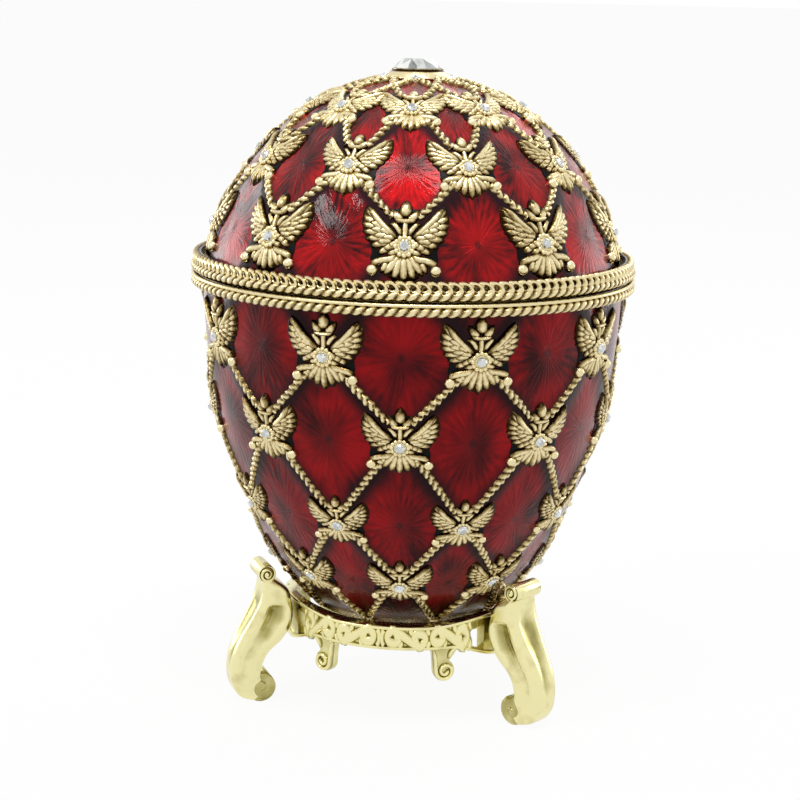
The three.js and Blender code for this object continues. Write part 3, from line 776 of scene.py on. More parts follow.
@dataclass(frozen=True, kw_only=True)
class Plain(Finish):
    """A finish of one colour with a faint unevenness.

    Attributes:
        colour: as sRGB hex.
        metallic: 1 for a metal, 0 otherwise.
        roughness: mean roughness.
        grain: size of the unevenness, in millimetres.
        specular: level of its mirror reflection.
    """

    colour: str
    metallic: float
    roughness: float
    grain: float = 1.5
    specular: float = 0.5

    def material(self) -> bpy.types.Material:
        """Builds the finish.

        Returns:
            The material.
        """
        nodes = Nodes(bpy.data.materials.new(self.name))
        cloud = nodes.noise(nodes.add("TexCoord").outputs["Object"], 1 / (self.grain * MM), 3.0)
        return nodes.finished({
            "Base Color": srgb(self.colour),
            "Metallic": self.metallic,
            "Roughness": nodes.math("MULTIPLY_ADD", cloud, 0.1, self.roughness - 0.05),
            "Normal": nodes.bump(cloud, 0.01),
            "Specular IOR Level": self.specular,
        })


@dataclass(frozen=True, kw_only=True)
class CutCrystal(Finish):
    """Clear lead crystal, polished, over the silver foil that backs a chaton.

    Attributes:
        foil: share of the look that is the foil seen through the stone.
        star: facets round the pavilion whose reflections are painted into a stone whose middle is on the Z
            axis, or 0.
        shard: length of one of those facets, in millimetres.
    """

    foil: float
    star: int = 0
    shard: float = 1.2

    def material(self) -> bpy.types.Material:
        """Builds the finish: a clear gloss over a bright metal, with glints that differ from facet to facet.

        Returns:
            The material.
        """
        nodes = Nodes(bpy.data.materials.new(self.name))
        # Glints and dark facets are painted into the base colour, as reflections that differ from facet to
        # facet.
        glint = nodes.noise(nodes.add("NewGeometry").outputs["True Normal"], 3.1, 1.0)
        if self.star:
            place = nodes.add("SeparateXYZ", {0: nodes.add("TexCoord").outputs["Object"]})
            x, y = place.outputs[0], place.outputs[1]
            turn = nodes.math("MULTIPLY", nodes.math("ARCTAN2", y, x), self.star / TAU)
            # Each facet of the pavilion is a triangle: its edge moves inwards to one side.
            lean = nodes.math("PINGPONG", turn, 1.0)
            out = nodes.math("MULTIPLY_ADD", nodes.length(x, y), 1 / (self.shard * MM), lean)
            cell = nodes.vector(nodes.math("FLOOR", turn), nodes.math("FLOOR", out))
            shard = nodes.add("TexWhiteNoise", {"Vector": cell}, noise_dimensions="2D").outputs[0]
            glint = nodes.math("MULTIPLY_ADD", shard, 0.5, nodes.math("MULTIPLY", glint, 0.5))
        return nodes.finished({
            "Base Color": nodes.ramp(glint, (0.15, "#5A605E"), (0.5, "#C9CCC9"), (0.75, "#FDFDFA")),
            "Metallic": self.foil,
            "Roughness": 0.05,
            "Coat Weight": 1.0,
            "Coat Roughness": 0.0,
            "Coat IOR": 1.6,
        })


# The egg's castings carry a pale champagne gilt, polished on the crests, with shade painted dark between the
# leaves.
EGG_GILT = Gilding(
    name="champagne_gilt_casting", slot=Slot.EGG_GILT,
    crest="#E9DAAC", middle="#A08957", recess="#2A1A0B", roughness=0.27,
)
# The stand's plate is greener and smoother: its casting shows only clouds a few millimetres wide.
STAND_GILT = Gilding(
    name="lemon_gilt_casting", slot=Slot.STAND_GILT,
    crest="#EEE6AE", middle="#B5AC6E", recess="#6E6632", roughness=0.24, grain=2.5, relief=0.05, mottle=0.5,
)
# The lining is matt gilt with a grain under a millimetre.
INNER_GILT = Plain(
    name="satin_gilt_lining", slot=Slot.EGG_GILT, colour="#D8C38A", metallic=1.0, roughness=0.38, grain=0.8
)
# Red enamel fired over the engraving, which shows more strongly in the lid than in the bowl. The bowl's copy
# is painted darker than the lid's, as shade on the half that faces down.
LID_ENAMEL = Guilloche(
    name="lid_guilloche_enamel", slot=Slot.ENAMEL, smooth=60.0,
    bright="#A8050B", deep="#2C0204", edge="#1F030A", contrast=0.6, gloss=0.95, coat_ior=1.22,
)
BOWL_ENAMEL = Guilloche(
    name="bowl_guilloche_enamel", slot=Slot.ENAMEL, smooth=60.0,
    bright="#8E050C", deep="#320205", edge="#1C0408", contrast=0.4, gloss=0.85, coat_ior=1.18,
)
# Cold black enamel, brushed between the leaves of an emblem.
BLACK_ENAMEL = Plain(
    name="black_enamel", slot=Slot.ENAMEL, colour="#040605", metallic=0.0, roughness=0.35, specular=0.1
)
# Machine-cut chatons with a silver foil at the back.
STONE = CutCrystal(name="foiled_crystal", slot=Slot.CRYSTAL, smooth=None, foil=0.85)
FINIAL_STONE = CutCrystal(name="foiled_chaton", slot=Slot.CRYSTAL, smooth=None, foil=0.85, star=16)
# Ground steel, with marks about 0.4 mm wide.
STEEL = Plain(name="ground_steel", slot=Slot.STEEL, colour="#B9BDC2", metallic=1.0, roughness=0.3, grain=0.4)


class Workshop:
    """Makes the meshes and keeps one material for each finish."""

    def __init__(self) -> None:
        """Starts with no material made."""
        self.materials: dict[str, bpy.types.Material] = {}

    def finish(self, finish: Finish) -> bpy.types.Material:
        """The material of a finish, made when it is first asked for.

        Args:
            finish: the finish.
        Returns:
            Its one material.
        """
        if finish.name not in self.materials:
            self.materials[finish.name] = finish.material()
        return self.materials[finish.name]

    def mesh(self, name: str, surface: Surface, smooth: Optional[float]) -> bpy.types.Mesh:
        """Turns a surface into a mesh, in metres.

        Args:
            name: of the mesh.
            surface: its points and faces.
            smooth: the angle in degrees above which an edge stays sharp, or None for flat facets.
        Returns:
            The mesh, with its tone as an attribute.
        """
        mesh = bpy.data.meshes.new(name)
        corners = np.concatenate([c.ravel() for c in surface.faces]).astype(np.int32)
        sizes = np.concatenate([np.full(len(c), c.shape[1]) for c in surface.faces])
        starts = np.concatenate([[0], np.cumsum(sizes)[:-1]]).astype(np.int32)
        mesh.vertices.add(len(surface.points))
        mesh.vertices.foreach_set("co", (surface.points * MM).astype(np.float32).ravel())
        mesh.loops.add(len(corners))
        mesh.loops.foreach_set("vertex_index", corners)
        mesh.polygons.add(len(sizes))
        mesh.polygons.foreach_set("loop_start", starts)
        mesh.polygons.foreach_set("use_smooth", np.full(len(sizes), smooth is not None))
        mesh.update(calc_edges=True)
        mesh.validate()
        tone = mesh.attributes.new("tone", "FLOAT", "POINT")
        tone.data.foreach_set("value", surface.tone.astype(np.float32))
        if smooth is not None:
            mesh.set_sharp_from_angle(angle=math.radians(smooth))
        return mesh

    def make(
        self, name: str, surface: Surface, finish: Finish, body: Body, *stands_for: str
    ) -> bpy.types.Object:
        """Makes a piece, dresses it and lets it ride.

        Args:
            name: of the piece.
            surface: its points and faces.
            finish: what it is finished with.
            body: the body that it rides on.
            stands_for: nodes of the frame that it replaces.
        Returns:
            The object.
        """
        piece = bpy.data.objects.new(name, self.mesh(name, surface, finish.smooth))
        bpy.context.scene.collection.objects.link(piece)
        piece.data.materials.append(self.finish(finish))
        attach(piece, body.value)
        if stands_for:
            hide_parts(*stands_for)
        log.info("%s: %d faces", name, len(piece.data.polygons))
        return piece


@dataclass(frozen=True)
class Fan:
    """Leaves whose roots and tips follow two curves.

    Attributes:
        count: how many leaves.
        tips: three control points of the curve of their tips.
        roots: three control points of the curve of their roots.
        width: of a leaf.
        height: of a leaf.
        base: height of its base.
        bow: how far the middle of a leaf lies above the line between its ends.
    """

    count: int
    tips: tuple[Place, Place, Place]
    roots: tuple[Place, Place, Place]
    width: float
    height: float
    base: float
    bow: float = 0.15

    def leaves(self) -> list[Stroke]:
        """One stroke for each leaf.

        Returns:
            The strokes, from the first control point to the last.
        """
        share = np.linspace(0, 1, self.count)
        strokes = []
        for root, tip in zip(bezier(*self.roots, share), bezier(*self.tips, share)):
            path = (tuple(root), tuple((root + tip) / 2 + (0.0, self.bow)), tuple(tip))
            strokes.append(Stroke(path, self.width, self.height, self.base, 0.2, 0.3))
        return strokes


@dataclass
class Emblem:
    """A winged palmette, drawn about 11.5 mm wide and tall with its middle at 0, 0.

    Attributes:
        size: its width and height as drawn.
        boss: radius of the ring that holds the crystal.
        boss_y: how far the crystal lies below the middle.
        seat: height of the crystal's seat.
        beads: how many beads are in that ring.
        bead: radius of a bead.
        berry: radius of the berry on each side scroll.
        fans: long feathers and two rows of shorter leaves of the right wing.
        tail: leaves of half the tail, beside the middle one.
    """

    size: float = 11.5
    boss: float = 1.15
    boss_y: float = -0.35
    seat: float = 0.85
    beads: int = 12
    bead: float = 0.36
    berry: float = 0.78
    fans: tuple[Fan, ...] = (
        Fan(7, ((5.3, 4.7), (7.0, 1.4), (3.5, -1.3)), ((3.3, 2.3), (2.4, 1.1), (1.3, -0.4)), 1.1, 0.5, 0.15),
        Fan(6, ((4.5, 3.8), (5.5, 1.3), (2.8, -0.9)), ((2.7, 2.0), (2.0, 1.1), (1.0, -0.1)), 1.05, 0.45, 0.4),
        Fan(4, ((3.5, 2.8), (3.9, 1.2), (2.1, -0.5)), ((2.1, 1.5), (1.5, 0.9), (0.7, 0.1)), 0.9, 0.4, 0.6),
    )
    tail: int = 2

    def wing(self) -> list[Stroke]:
        """The right wing.

        Returns:
            Its fans of leaves and the ridge on its upper edge.
        """
        line = ((0.7, 0.5), (2.0, 1.5), (3.3, 2.75), (4.3, 4.0), (5.2, 5.1))
        ridge = Stroke(line, 1.15, 0.9, 0.2, 0.2, 0.3)
        return [leaf for fan in self.fans for leaf in fan.leaves()] + [ridge]

    def foliage(self) -> list[Stroke]:
        """The right half of what is above and below the wings.

        Returns:
            The leaves, a side scroll that ends in its berry, and the tail.
        """
        side_scroll = ((0.5, -1.1), (1.6, -1.9), (2.8, -2.1), (3.9, -2.5), (4.1, -3.3))
        strokes = [
            Stroke(((0.4, 0.9), (0.9, 1.9), (1.5, 2.5), (2.3, 2.5)), 1.0, 0.6, 0.1, 0.2, 0.4),
            Stroke(((0.1, 3.1), (1.0, 3.5), (1.9, 4.7)), 1.35, 0.6, 0.2, 0.3, 0.4),
            Stroke(side_scroll, 1.2, 0.75, 0.1, 0.2, 0.3),
            Stroke(((2.2, -2.2), (2.5, -2.9), (3.1, -3.9)), 1.15, 0.6, 0.05, 0.2, 0.4),
            Stroke(((0.7, -0.9), (1.5, -1.1), (2.4, -1.4)), 1.0, 0.7, 0.1, 0.2, 0.4),
        ]
        for i in range(1, self.tail + 1):
            lean, reach, root = i * 0.34, 4.1, (0.15 * i, -1.2)
            tip = (reach * math.sin(lean), -1.0 - reach * math.cos(lean))
            middle = (0.5 * tip[0] + root[0], 0.5 * (tip[1] + root[1]))
            strokes.append(Stroke((root, middle, tip), 1.35, 0.6, 0.1, 0.2, 0.3))
        return strokes

    def middle(self) -> list[Stroke]:
        """What lies on the middle line.

        Returns:
            The stem, the top leaf, its collar and the middle leaf of the tail.
        """
        return [
            Stroke(((0.0, 0.7), (0.0, 2.0), (0.0, 3.5)), 1.0, 0.7, 0.05, 0.1, 0.1),
            Stroke(((0.0, 3.2), (0.0, 4.5), (0.0, 6.0)), 1.9, 0.85, 0.1, 0.3, 0.4),
            Stroke(((-1.5, 3.1), (0.0, 2.9), (1.5, 3.1)), 0.8, 0.7, 0.35, 0.15, 0.15),
            Stroke(((0.0, -1.2), (0.0, -3.2), (0.0, -5.35)), 1.35, 0.75, 0.1, 0.2, 0.3),
        ]

    def berries(self) -> Surface:
        """A berry at the end of each side scroll and a ring of beads round the crystal.

        Returns:
            All the balls, each flattened below.
        """
        ball = turned([(0, -0.6), (0.8, -0.6), (1, 0.0), (0.92, 0.4), (0.71, 0.71), (0.38, 0.92), (0, 1)], 8)
        parts = [ball.moved((x, -3.4, 0.4), self.berry) for x in (4.1, -4.1)]
        for turn in np.arange(self.beads) * TAU / self.beads:
            x, y = self.boss * math.cos(turn), self.boss_y + self.boss * math.sin(turn)
            parts.append(ball.moved((x, y, self.seat - 0.1), self.bead))
        return joined(parts)

    def disc(self) -> Surface:
        """The plate under the crystal.

        Returns:
            The closed body.
        """
        r, top = self.boss + 0.1, self.seat
        profile = [(0, -UNDER), (r, -UNDER), (r, top - 0.15), (r - 0.2, top), (0, top)]
        return turned(profile, 20).moved((0, self.boss_y, 0))

    def plates(self) -> list[Surface]:
        """The cast ground under both wings and the tail.

        Returns:
            Three plates.
        """
        wing = [(0.5, 0.3), (1.9, 1.6), (3.3, 2.95), (4.4, 4.2), (5.2, 4.9), (5.6, 3.9), (5.7, 2.6)]
        wing += [(5.3, 1.3), (4.5, 0.2), (3.5, -1.0), (2.3, -0.9), (1.0, -0.7)]
        tail = [(0.9, -0.8), (1.6, -2.0), (2.4, -3.6), (1.4, -4.5), (0.0, -4.9)]
        tail += [(-x, y) for x, y in tail[-2::-1]]
        # The plates are painted dark (tone 0.1), as the shade between the feathers.
        return [plate(side, 0.3, 0.1) for side in (wing, [(-x, y) for x, y in wing], tail)]

    def relief(self) -> Surface:
        """The whole emblem, as points (x, y, height)."""
        strokes = [stroke.surface() for stroke in both(self.wing()) + both(self.foliage()) + self.middle()]
        return joined(strokes + self.plates() + [self.berries(), self.disc()])

    def ground(self) -> Surface:
        """The black enamel between the leaves: a thin plate with the emblem's outline."""
        half = ((2.0, 4.6), (3.2, 4.1), (4.9, 4.4), (5.3, 1.4), (4.3, -0.6), (4.4, -2.2), (3.2, -4.0))
        return plate([(0.0, 4.8), *half, (0.0, -4.2), *((-x, y) for x, y in half[::-1])], 0.2, 1.0)

    def stone(self, row: Row) -> Surface:
        """A row's crystal, drawn so that it comes out 1.8 mm wide at that row's size.

        Args:
            row: whose crystal it is.
        Returns:
            The stone on its seat.
        """
        radius = 0.9 * 2 * self.size / (row.width + row.tall)
        return brilliant(radius, 0.72, 10).moved((0, self.boss_y, self.seat))


def brilliant(radius: float, height: float, sides: int) -> Surface:
    """A small faceted stone with its seat at height 0.

    Args:
        radius: of the girdle.
        height: from the seat to the table.
        sides: facets round.
    Returns:
        The closed body.
    """
    rings = [(0.86, 0.0), (1.0, 0.36), (0.8, 0.74), (0.52, 1.0)]
    levels = [(radius * r, z * height, sides / 4 + n / 2) for n, (r, z) in enumerate(rings)]
    return cut_stone(levels, sides)


@dataclass
class Trellis:
    """The gilt network of one half of the egg.

    Attributes:
        curve: the enamel that it lies on.
        rows: emblem rows, from the seam to the pole.
        bare: rows of bare crossings beyond them.
        width: of a rope.
        height: of a rope.
        pitch: of the leaves along a rope.
        lag: by how much of a leaf the rope's edge is behind its middle line.
    """

    curve: EggCurve
    rows: list[Row]
    bare: list[Row]
    width: float = 1.7
    height: float = 1.0
    pitch: float = 1.35
    lag: float = 0.4

    def levels(self) -> list[Row]:
        """All rows of crossings, from the seam to the pole."""
        return self.rows + self.bare

    def latitude(self, row: Row) -> float:
        """Latitude of a row's middle."""
        return float(self.curve.latitude(row.at))

    def on(self, row: Row, column: int, points: Array) -> Array:
        """Lays a relief's points (x, y, height) on the egg at one ornament's place.

        Args:
            row: the ornament's row.
            column: its number in the row.
            points: (n, 3) points of the relief.
        Returns:
            (n, 3) places.
        """
        angle = self.latitude(row) + self.curve.way * points[:, 1] / self.curve.rate(self.latitude(row))
        radius = np.maximum(self.curve.meridian(angle)[0], 1.0)
        return self.curve.point(row.azimuth(column) + points[:, 0] / radius, angle, points[:, 2])

    def copies(self, row: Row, relief: Surface) -> Surface:
        """The relief at each of a row's places, at the row's size.

        Args:
            row: the row.
            relief: as points (x, y, height), at the size at which the emblem is drawn.
        Returns:
            All the copies.
        """
        wide, tall = row.width / Emblem.size, row.tall / Emblem.size
        sized = relief.moved((0, 0, 0), (wide, tall, min(1.1, (wide + tall) / 2)))
        return joined([sized.mapped(lambda p, n=n: self.on(row, n, p)).outward() for n in range(COLUMNS)])

    def laurel(self, start: Array, end: Array, seed: int) -> Surface:
        """A rope of overlapping leaves between two places (azimuth, latitude).

        The section is a half oval whose height and width follow a saw along the rope; the saw is delayed
        away from the middle line, which draws each leaf as a chevron, and by half a leaf on one side.

        Args:
            start: where it starts.
            end: where it ends.
            seed: of the small differences between leaves.
        Returns:
            The closed body.
        """
        random = np.random.default_rng(seed)
        first, last = self.curve.point(*np.stack([start, end], axis=1))
        leaves = max(3, round(float(np.linalg.norm(last - first)) / self.pitch))
        # The rings of a leaf, and the shares of it over which it swells and ends.
        steps, rise, fall = 6, 0.55, 0.2
        t = np.linspace(0, 1, leaves * steps + 1)
        azimuth, angle = start[:, None] + (end - start)[:, None] * t
        middle = self.curve.point(azimuth, angle)
        out = self.curve.point(azimuth, angle, 1.0) - middle
        side = np.cross(np.gradient(middle, axis=0), out)
        side /= np.linalg.norm(side, axis=1)[:, None]
        turn = np.linspace(0, math.pi, 9)[None, :]
        across = np.cos(turn)
        phase = t[:, None] * leaves - self.lag * np.abs(across) + 0.5 * (across > 0)
        saw = phase % 1.0
        leaf = smooth_step(saw / rise) * (1 - smooth_step((saw - 1 + fall) / fall))
        vary = random.uniform(0.85, 1.1, leaves + 3)[np.clip(np.floor(phase).astype(int) + 1, 0, leaves + 2)]
        wide = self.width / 2 * (0.8 + 0.2 * leaf) * vary
        tall = np.sin(turn) * self.height * (0.58 + 0.42 * leaf * vary)
        points = middle[:, None] + side[:, None] * (across * wide)[..., None]
        points = points + out[:, None] * (tall - UNDER)[..., None]
        # The tone paints shade at the rope's edges and between its leaves.
        return tube(points, 0.15 + 0.85 * (np.sin(turn) * leaf) ** 1.8).outward()

    def ropes(self) -> Surface:
        """All ropes of this half: two from each ornament to the next row.

        Returns:
            The ropes, each with a seed of its own.
        """
        parts = []
        for number, (row, following) in enumerate(zip(self.levels(), self.levels()[1:])):
            for column in range(COLUMNS):
                for side in (-1, 1):
                    azimuth = row.azimuth(column)
                    here = self.port(row, azimuth, side, 1)
                    there = self.port(following, azimuth + side * STEP / 2, -side, -1)
                    parts.append(self.laurel(here, there, 1000 * number + 10 * column + side + 1))
        return joined(parts)

    def ring(self, from_radius: float, to_radius: float, height: float) -> Surface:
        """A plain band that lies on the enamel, with eased edges.

        Args:
            from_radius: distance of its first edge from the axis.
            to_radius: of its last edge.
            height: above the enamel.
        Returns:
            The ring.
        """
        angles = [math.acos(radius / self.curve.radius) for radius in (from_radius, to_radius)]
        share = np.array([0.0, 0.0, 0.06, 0.2, 0.5, 0.8, 0.94, 1.0, 1.0])
        lifts = np.array([-UNDER, 0.6, 0.85, 0.97, 1.0, 0.97, 0.85, 0.6, -UNDER]) * height
        radius, level = self.curve.meridian(angles[0] + (angles[1] - angles[0]) * share, lifts)
        return swept(list(zip(radius, level)), 180)

    def port(self, row: Row, azimuth: float, side: int, onward: int) -> Array:
        """Where a rope starts or ends at an ornament, as azimuth and latitude.

        Args:
            row: the ornament's row.
            azimuth: of the ornament's middle.
            side: 1 for its right side, -1 for its left.
            onward: 1 towards the pole, -1 towards the seam.
        Returns:
            The place, inside the ornament's outline.
        """
        up = onward * self.curve.way
        angle = self.latitude(row)
        if row in self.bare:
            return np.array([azimuth, angle])
        across = row.width * (0.15 if up > 0 else 0.22)
        rise = row.tall * (0.30 if up > 0 else 0.24)
        radius = self.curve.meridian(angle)[0]
        return np.array([azimuth + side * across / radius, angle + onward * rise / self.curve.rate(angle)])

    def cell(self, azimuth: Array, angle: Array) -> tuple[Array, Array]:
        """Place in the network, counted in diamonds along both diagonals: whole numbers at the crossings.

        Args:
            azimuth: of the place.
            angle: its latitude.
        Returns:
            Both counts.
        """
        known = np.array([self.latitude(row) for row in self.levels()])
        index = np.array([row.index for row in self.levels()], float)
        before = index[0] + (angle - known[0]) * (index[1] - index[0]) / (known[1] - known[0])
        after = index[-1] + (angle - known[-1]) * (index[-1] - index[-2]) / (known[-1] - known[-2])
        number = np.where(angle > known[-1], after, np.interp(angle, known, index))
        number = np.where(angle < known[0], before, number)
        return number / 2 + azimuth / STEP, number / 2 - azimuth / STEP


@dataclass
class EggHalf:
    """One half of the egg: its enamelled shell, network, ornaments and crystals.

    Attributes:
        body: bowl or lid, which also begins the names of its pieces.
        trellis: the gilt network.
        enamel: finish of the shell's outside.
        edge: height of the shell's edge above the seam.
        rings: first and last radius and height of each plain band of the network.
        wall: thickness of the shell.
        meniscus: how far the enamel climbs beside the ropes.
        climb: how wide that climb is, in diamonds.
        underside_shade: how much darker the enamel is painted beyond the last emblems, as shade.
        shade_power: power on the emblems' tone that paints shade over all but the crests of the first row's
            emblems.
        shade_power_step: how much lower that power is from row to row, so that the lid's upper rows are
            painted lighter, as lit from above.
    """

    body: Body
    trellis: Trellis
    enamel: Guilloche
    edge: float
    rings: tuple[tuple[float, float, float], ...] = ()
    wall: float = 2.0
    meniscus: float = 0.3
    climb: float = 0.12
    underside_shade: float = 0.0
    shade_power: float = 4.0
    shade_power_step: float = 0.0

    def shell(self, shop: Workshop) -> None:
        """The shell: a grid of azimuth and latitude for the outside and a coarser one for the lining.

        Its rows run from the lining's pole out to its edge, over the rim and on to the outer pole. It gets a
        map named cell, and the lining as a second material.

        Args:
            shop: makes the mesh.
        """
        curve, columns, name = self.trellis.curve, 360, self.body.value
        lining = replace(curve, radius=curve.radius - self.wall, reach=curve.reach - self.wall)
        start = float(curve.latitude(self.edge))
        outer_angle = np.linspace(start, math.pi / 2 - 0.01, 120)
        inner_angle = np.linspace(float(lining.latitude(self.edge)), math.pi / 2 - 0.02, 30)[::-1]
        azimuth = np.arange(columns) * TAU / columns
        p, q = self.trellis.cell(azimuth[None, :], outer_angle[:, None])
        near = 0.5 - np.maximum(np.abs(p % 1 - 0.5), np.abs(q % 1 - 0.5))
        lift = self.meniscus * np.exp(-((near / self.climb) ** 2))
        inside = lining.point(azimuth[None, :], inner_angle[:, None])
        outside = curve.point(azimuth[None, :], outer_angle[:, None], lift)
        # The enamel is painted darker beyond the last emblems, as shade on the underside of the bowl.
        last, beyond = (self.trellis.latitude(row) for row in (self.trellis.rows[-1], self.trellis.bare[0]))
        underside_tone = 1 - self.underside_shade * smooth_step((outer_angle - last) / (beyond - last))
        tone = np.concatenate([np.ones(len(inner_angle)), underside_tone])[:, None] * np.ones(columns)
        surface = tube(np.concatenate([inside, outside]), tone).outward()
        mesh = shop.make(f"{name}_enamel", surface, self.enamel, self.body, f"{name}_shell").data

        corners = np.empty(len(mesh.loops), np.int32)
        mesh.loops.foreach_get("vertex_index", corners)
        row, column = corners // columns, (corners % columns).astype(float)
        quads = (len(inner_angle) + len(outer_angle) - 1) * columns
        # Where a quad joins the last column to the first, its map runs on past the last instead of back to 0.
        joint = column[:4 * quads].reshape(-1, 4)
        joint[(joint == 0) & (joint.max(axis=1) == columns - 1)[:, None]] = columns
        angles = np.concatenate([np.full(len(inner_angle), start), outer_angle])
        p, q = self.trellis.cell(column * TAU / columns, angles[row])
        layer = mesh.uv_layers.new(name="cell")
        layer.data.foreach_set("uv", np.stack([p, q], axis=1).astype(np.float32).ravel())

        mesh.materials.append(shop.finish(INNER_GILT))
        kind = np.zeros(len(mesh.polygons), np.int32)
        kind[:len(inner_angle) * columns] = 1
        kind[quads] = 1  # the facet that closes the lining at its pole
        mesh.polygons.foreach_set("material_index", kind)

    def dress(self, shop: Workshop, emblem: Emblem) -> None:
        """Makes the network, the emblems and their crystals.

        Args:
            shop: makes the meshes.
            emblem: the ornament.
        """
        name = self.body.value
        network = joined([self.trellis.ropes()] + [self.trellis.ring(*ring) for ring in self.rings])
        shop.make(f"{name}_ropes", network, EGG_GILT, self.body, f"{name}_trellis")
        relief, ground = emblem.relief(), emblem.ground()
        for number, row in enumerate(self.trellis.rows, start=1):
            # Each row's emblems get painted shade over all but their crests, with less of it on the rows
            # nearer the pole.
            shade_deepened = relief.shade_deepened(self.shade_power - self.shade_power_step * (number - 1))
            # The frame has crystals in the first two rows only.
            letter = {1: "a", 2: "b"}.get(number)
            nodes = [f"{name}_crystal_{letter}_{n + 1}" for n in range(COLUMNS)] if letter else []
            for kind, surface, finish, stands_for in (
                ("emblems", shade_deepened, EGG_GILT, ()),
                ("black_enamel", ground, BLACK_ENAMEL, ()),
                ("stones", emblem.stone(row), STONE, nodes),
            ):
                copies = self.trellis.copies(row, surface)
                shop.make(f"{name}_{kind}_{number}", copies, finish, self.body, *stands_for)


@dataclass
class Bands:
    """The two gilt bands at the seam, with their rope rows and the locating lip.

    Attributes:
        seam: height of the joint.
        bowl_height: of the lower band, from the seam.
        lid_height: of the upper band, from the seam.
        radius: outside of the rope rows.
        ground: radius of the plain band behind them.
        shade: tone of that band, painted dark as the shade behind the ropes.
        inner: radius that clears the enamel.
        lip: outside of the locating lip.
        lip_wall: its thickness.
        lip_height: above the seam.
        flange: thickness of the flat ring over the shell's edge.
        lid_inner: inside of the lid's flange.
        count: strands round a rope row.
        slant: how far a strand leans, in turns of the section for each strand.
        groove: depth of the grooves between strands, as a share of the section.
        wire: radius of a link's wire.
        lean: of a link, as a share of its height.
        gap: half the angle that the hinge takes.
    """

    seam: float
    bowl_height: float = 2.4
    lid_height: float = 3.4
    radius: float = 38.5
    ground: float = 37.4
    shade: float = 0.15
    inner: float = 36.75
    lip: float = 33.3
    lip_wall: float = 1.0
    lip_height: float = 1.5
    flange: float = 0.9
    lid_inner: float = 33.8
    count: int = 141
    slant: float = 2.0
    groove: float = 0.34
    wire: float = 0.4
    lean: float = 0.5
    gap: float = 0.21

    def azimuths(self, count: int) -> Array:
        """Places along the turn, from one side of the hinge round the front to the other."""
        return np.linspace(self.gap - math.pi, math.pi - self.gap, count)

    def strand_row(self, height: float, tall: float, deep: float) -> Surface:
        """A twisted rope round the egg, open at the hinge.

        Its section is an oval pulled in along helical grooves. The pull is a power of
        1 - |cos((count az - slant f) / 2)|, where f is the turn round the section.

        Args:
            height: of its middle above the seam.
            tall: half its height.
            deep: half its depth.
        Returns:
            The closed body.
        """
        azimuth = self.azimuths(self.count * 8)[:, None]
        turn = np.linspace(0, TAU, 14, endpoint=False)[None, :]
        crest = np.abs(np.cos((self.count * azimuth - self.slant * turn) / 2)) ** 0.6
        pull = 1 - self.groove * (1 - crest)
        radius = self.radius - deep + deep * pull * np.cos(turn)
        level = self.seam + height + tall * pull * np.sin(turn)
        # The tone paints shade in the grooves between strands.
        return tube(around(radius, azimuth, level), 1.35 * crest - 0.35).outward()

    def link_row(self, height: float, tall: float) -> Surface:
        """A row of round links, each leaning over the next.

        Args:
            height: of their middles above the seam.
            tall: half the height of a link.
        Returns:
            All the links.
        """
        turn = np.linspace(0, TAU, 14, endpoint=False)[:, None]
        small = np.linspace(0, TAU, 7, endpoint=False)[None, :]
        reach = tall - self.wire + self.wire * np.cos(small)
        y = reach * np.sin(turn)
        x = reach * np.cos(turn) * 1.05 - y * self.lean
        out = self.wire * 1.2 * np.sin(small) + 0.25 * x + 0.12 * y
        # The tone paints the inner side of each wire darker, as shade, and its outer side lighter.
        tone = np.broadcast_to(0.5 + 0.55 * np.sin(small), x.shape)
        middle = self.radius - 0.95
        return joined([
            tube(around(middle + out, place + x / middle, self.seam + height + y), tone, loop=True).outward()
            for place in self.azimuths(self.count - 8)
        ])

    def bead(self, height: float, tall: float, radius: float) -> Surface:
        """A plain rounded edge round the egg, open at the hinge.

        Args:
            height: of its middle above the seam.
            tall: half its height.
            radius: outside of it.
        Returns:
            The closed body.
        """
        turn = np.linspace(0, TAU, 10, endpoint=False)[None, :]
        level = self.seam + height + tall * np.sin(turn)
        points = around(radius - 0.4 + 0.4 * np.cos(turn), self.azimuths(361)[:, None], level)
        return tube(points, np.ones(points.shape[:2])).outward()

    def back(self, way: int, height: float) -> Surface:
        """The plain band behind the ropes, eased at the seam.

        Args:
            way: 1 above the seam, -1 below it.
            height: of the band, from the seam.
        Returns:
            The closed body, open at the hinge.
        """
        near, far = self.seam + way * SEAM_GAP, self.seam + way * (height - 0.3)
        inside = self.inner - 0.05
        profile = [(inside, far), (self.ground, far), (self.ground, near + way * 0.1)]
        profile += [(self.ground - 0.1, near), (inside, near)]
        # The band is painted dark all over, as the shade behind the ropes.
        return swept(profile, 361, self.gap).shaded(self.shade)

    def bowl(self) -> list[Surface]:
        """The lower band.

        Returns:
            A flange with the locating lip, the band's back, a plain edge and a rope row.
        """
        top = self.seam - SEAM_GAP
        low = top - self.flange
        wall, lip_top, ease = self.lip - self.lip_wall, self.seam + self.lip_height, 0.2
        flange = [(wall, low), (self.inner, low), (self.inner, top), (self.lip, top)]
        flange += [(self.lip, lip_top - ease)]
        flange += [(self.lip - ease, lip_top), (wall + ease, lip_top), (wall, lip_top - ease)]
        return [
            swept(flange, 240),
            self.back(-1, self.bowl_height),
            self.bead(-SEAM_GAP - 0.32, 0.32, self.radius - 0.05),
            self.strand_row(-1.55, 0.9, 1.0),
        ]

    def lid(self) -> list[Surface]:
        """The upper band.

        Returns:
            A flange, the band's back and a rope row under a row of links.
        """
        low = self.seam + SEAM_GAP
        high = low + self.flange
        flange = [(self.lid_inner, low), (self.inner, low), (self.inner, high), (self.lid_inner, high)]
        return [
            swept(flange, 240),
            self.back(1, self.lid_height),
            self.strand_row(0.95, 0.82, 0.95),
            self.link_row(2.25, 1.15),
        ]


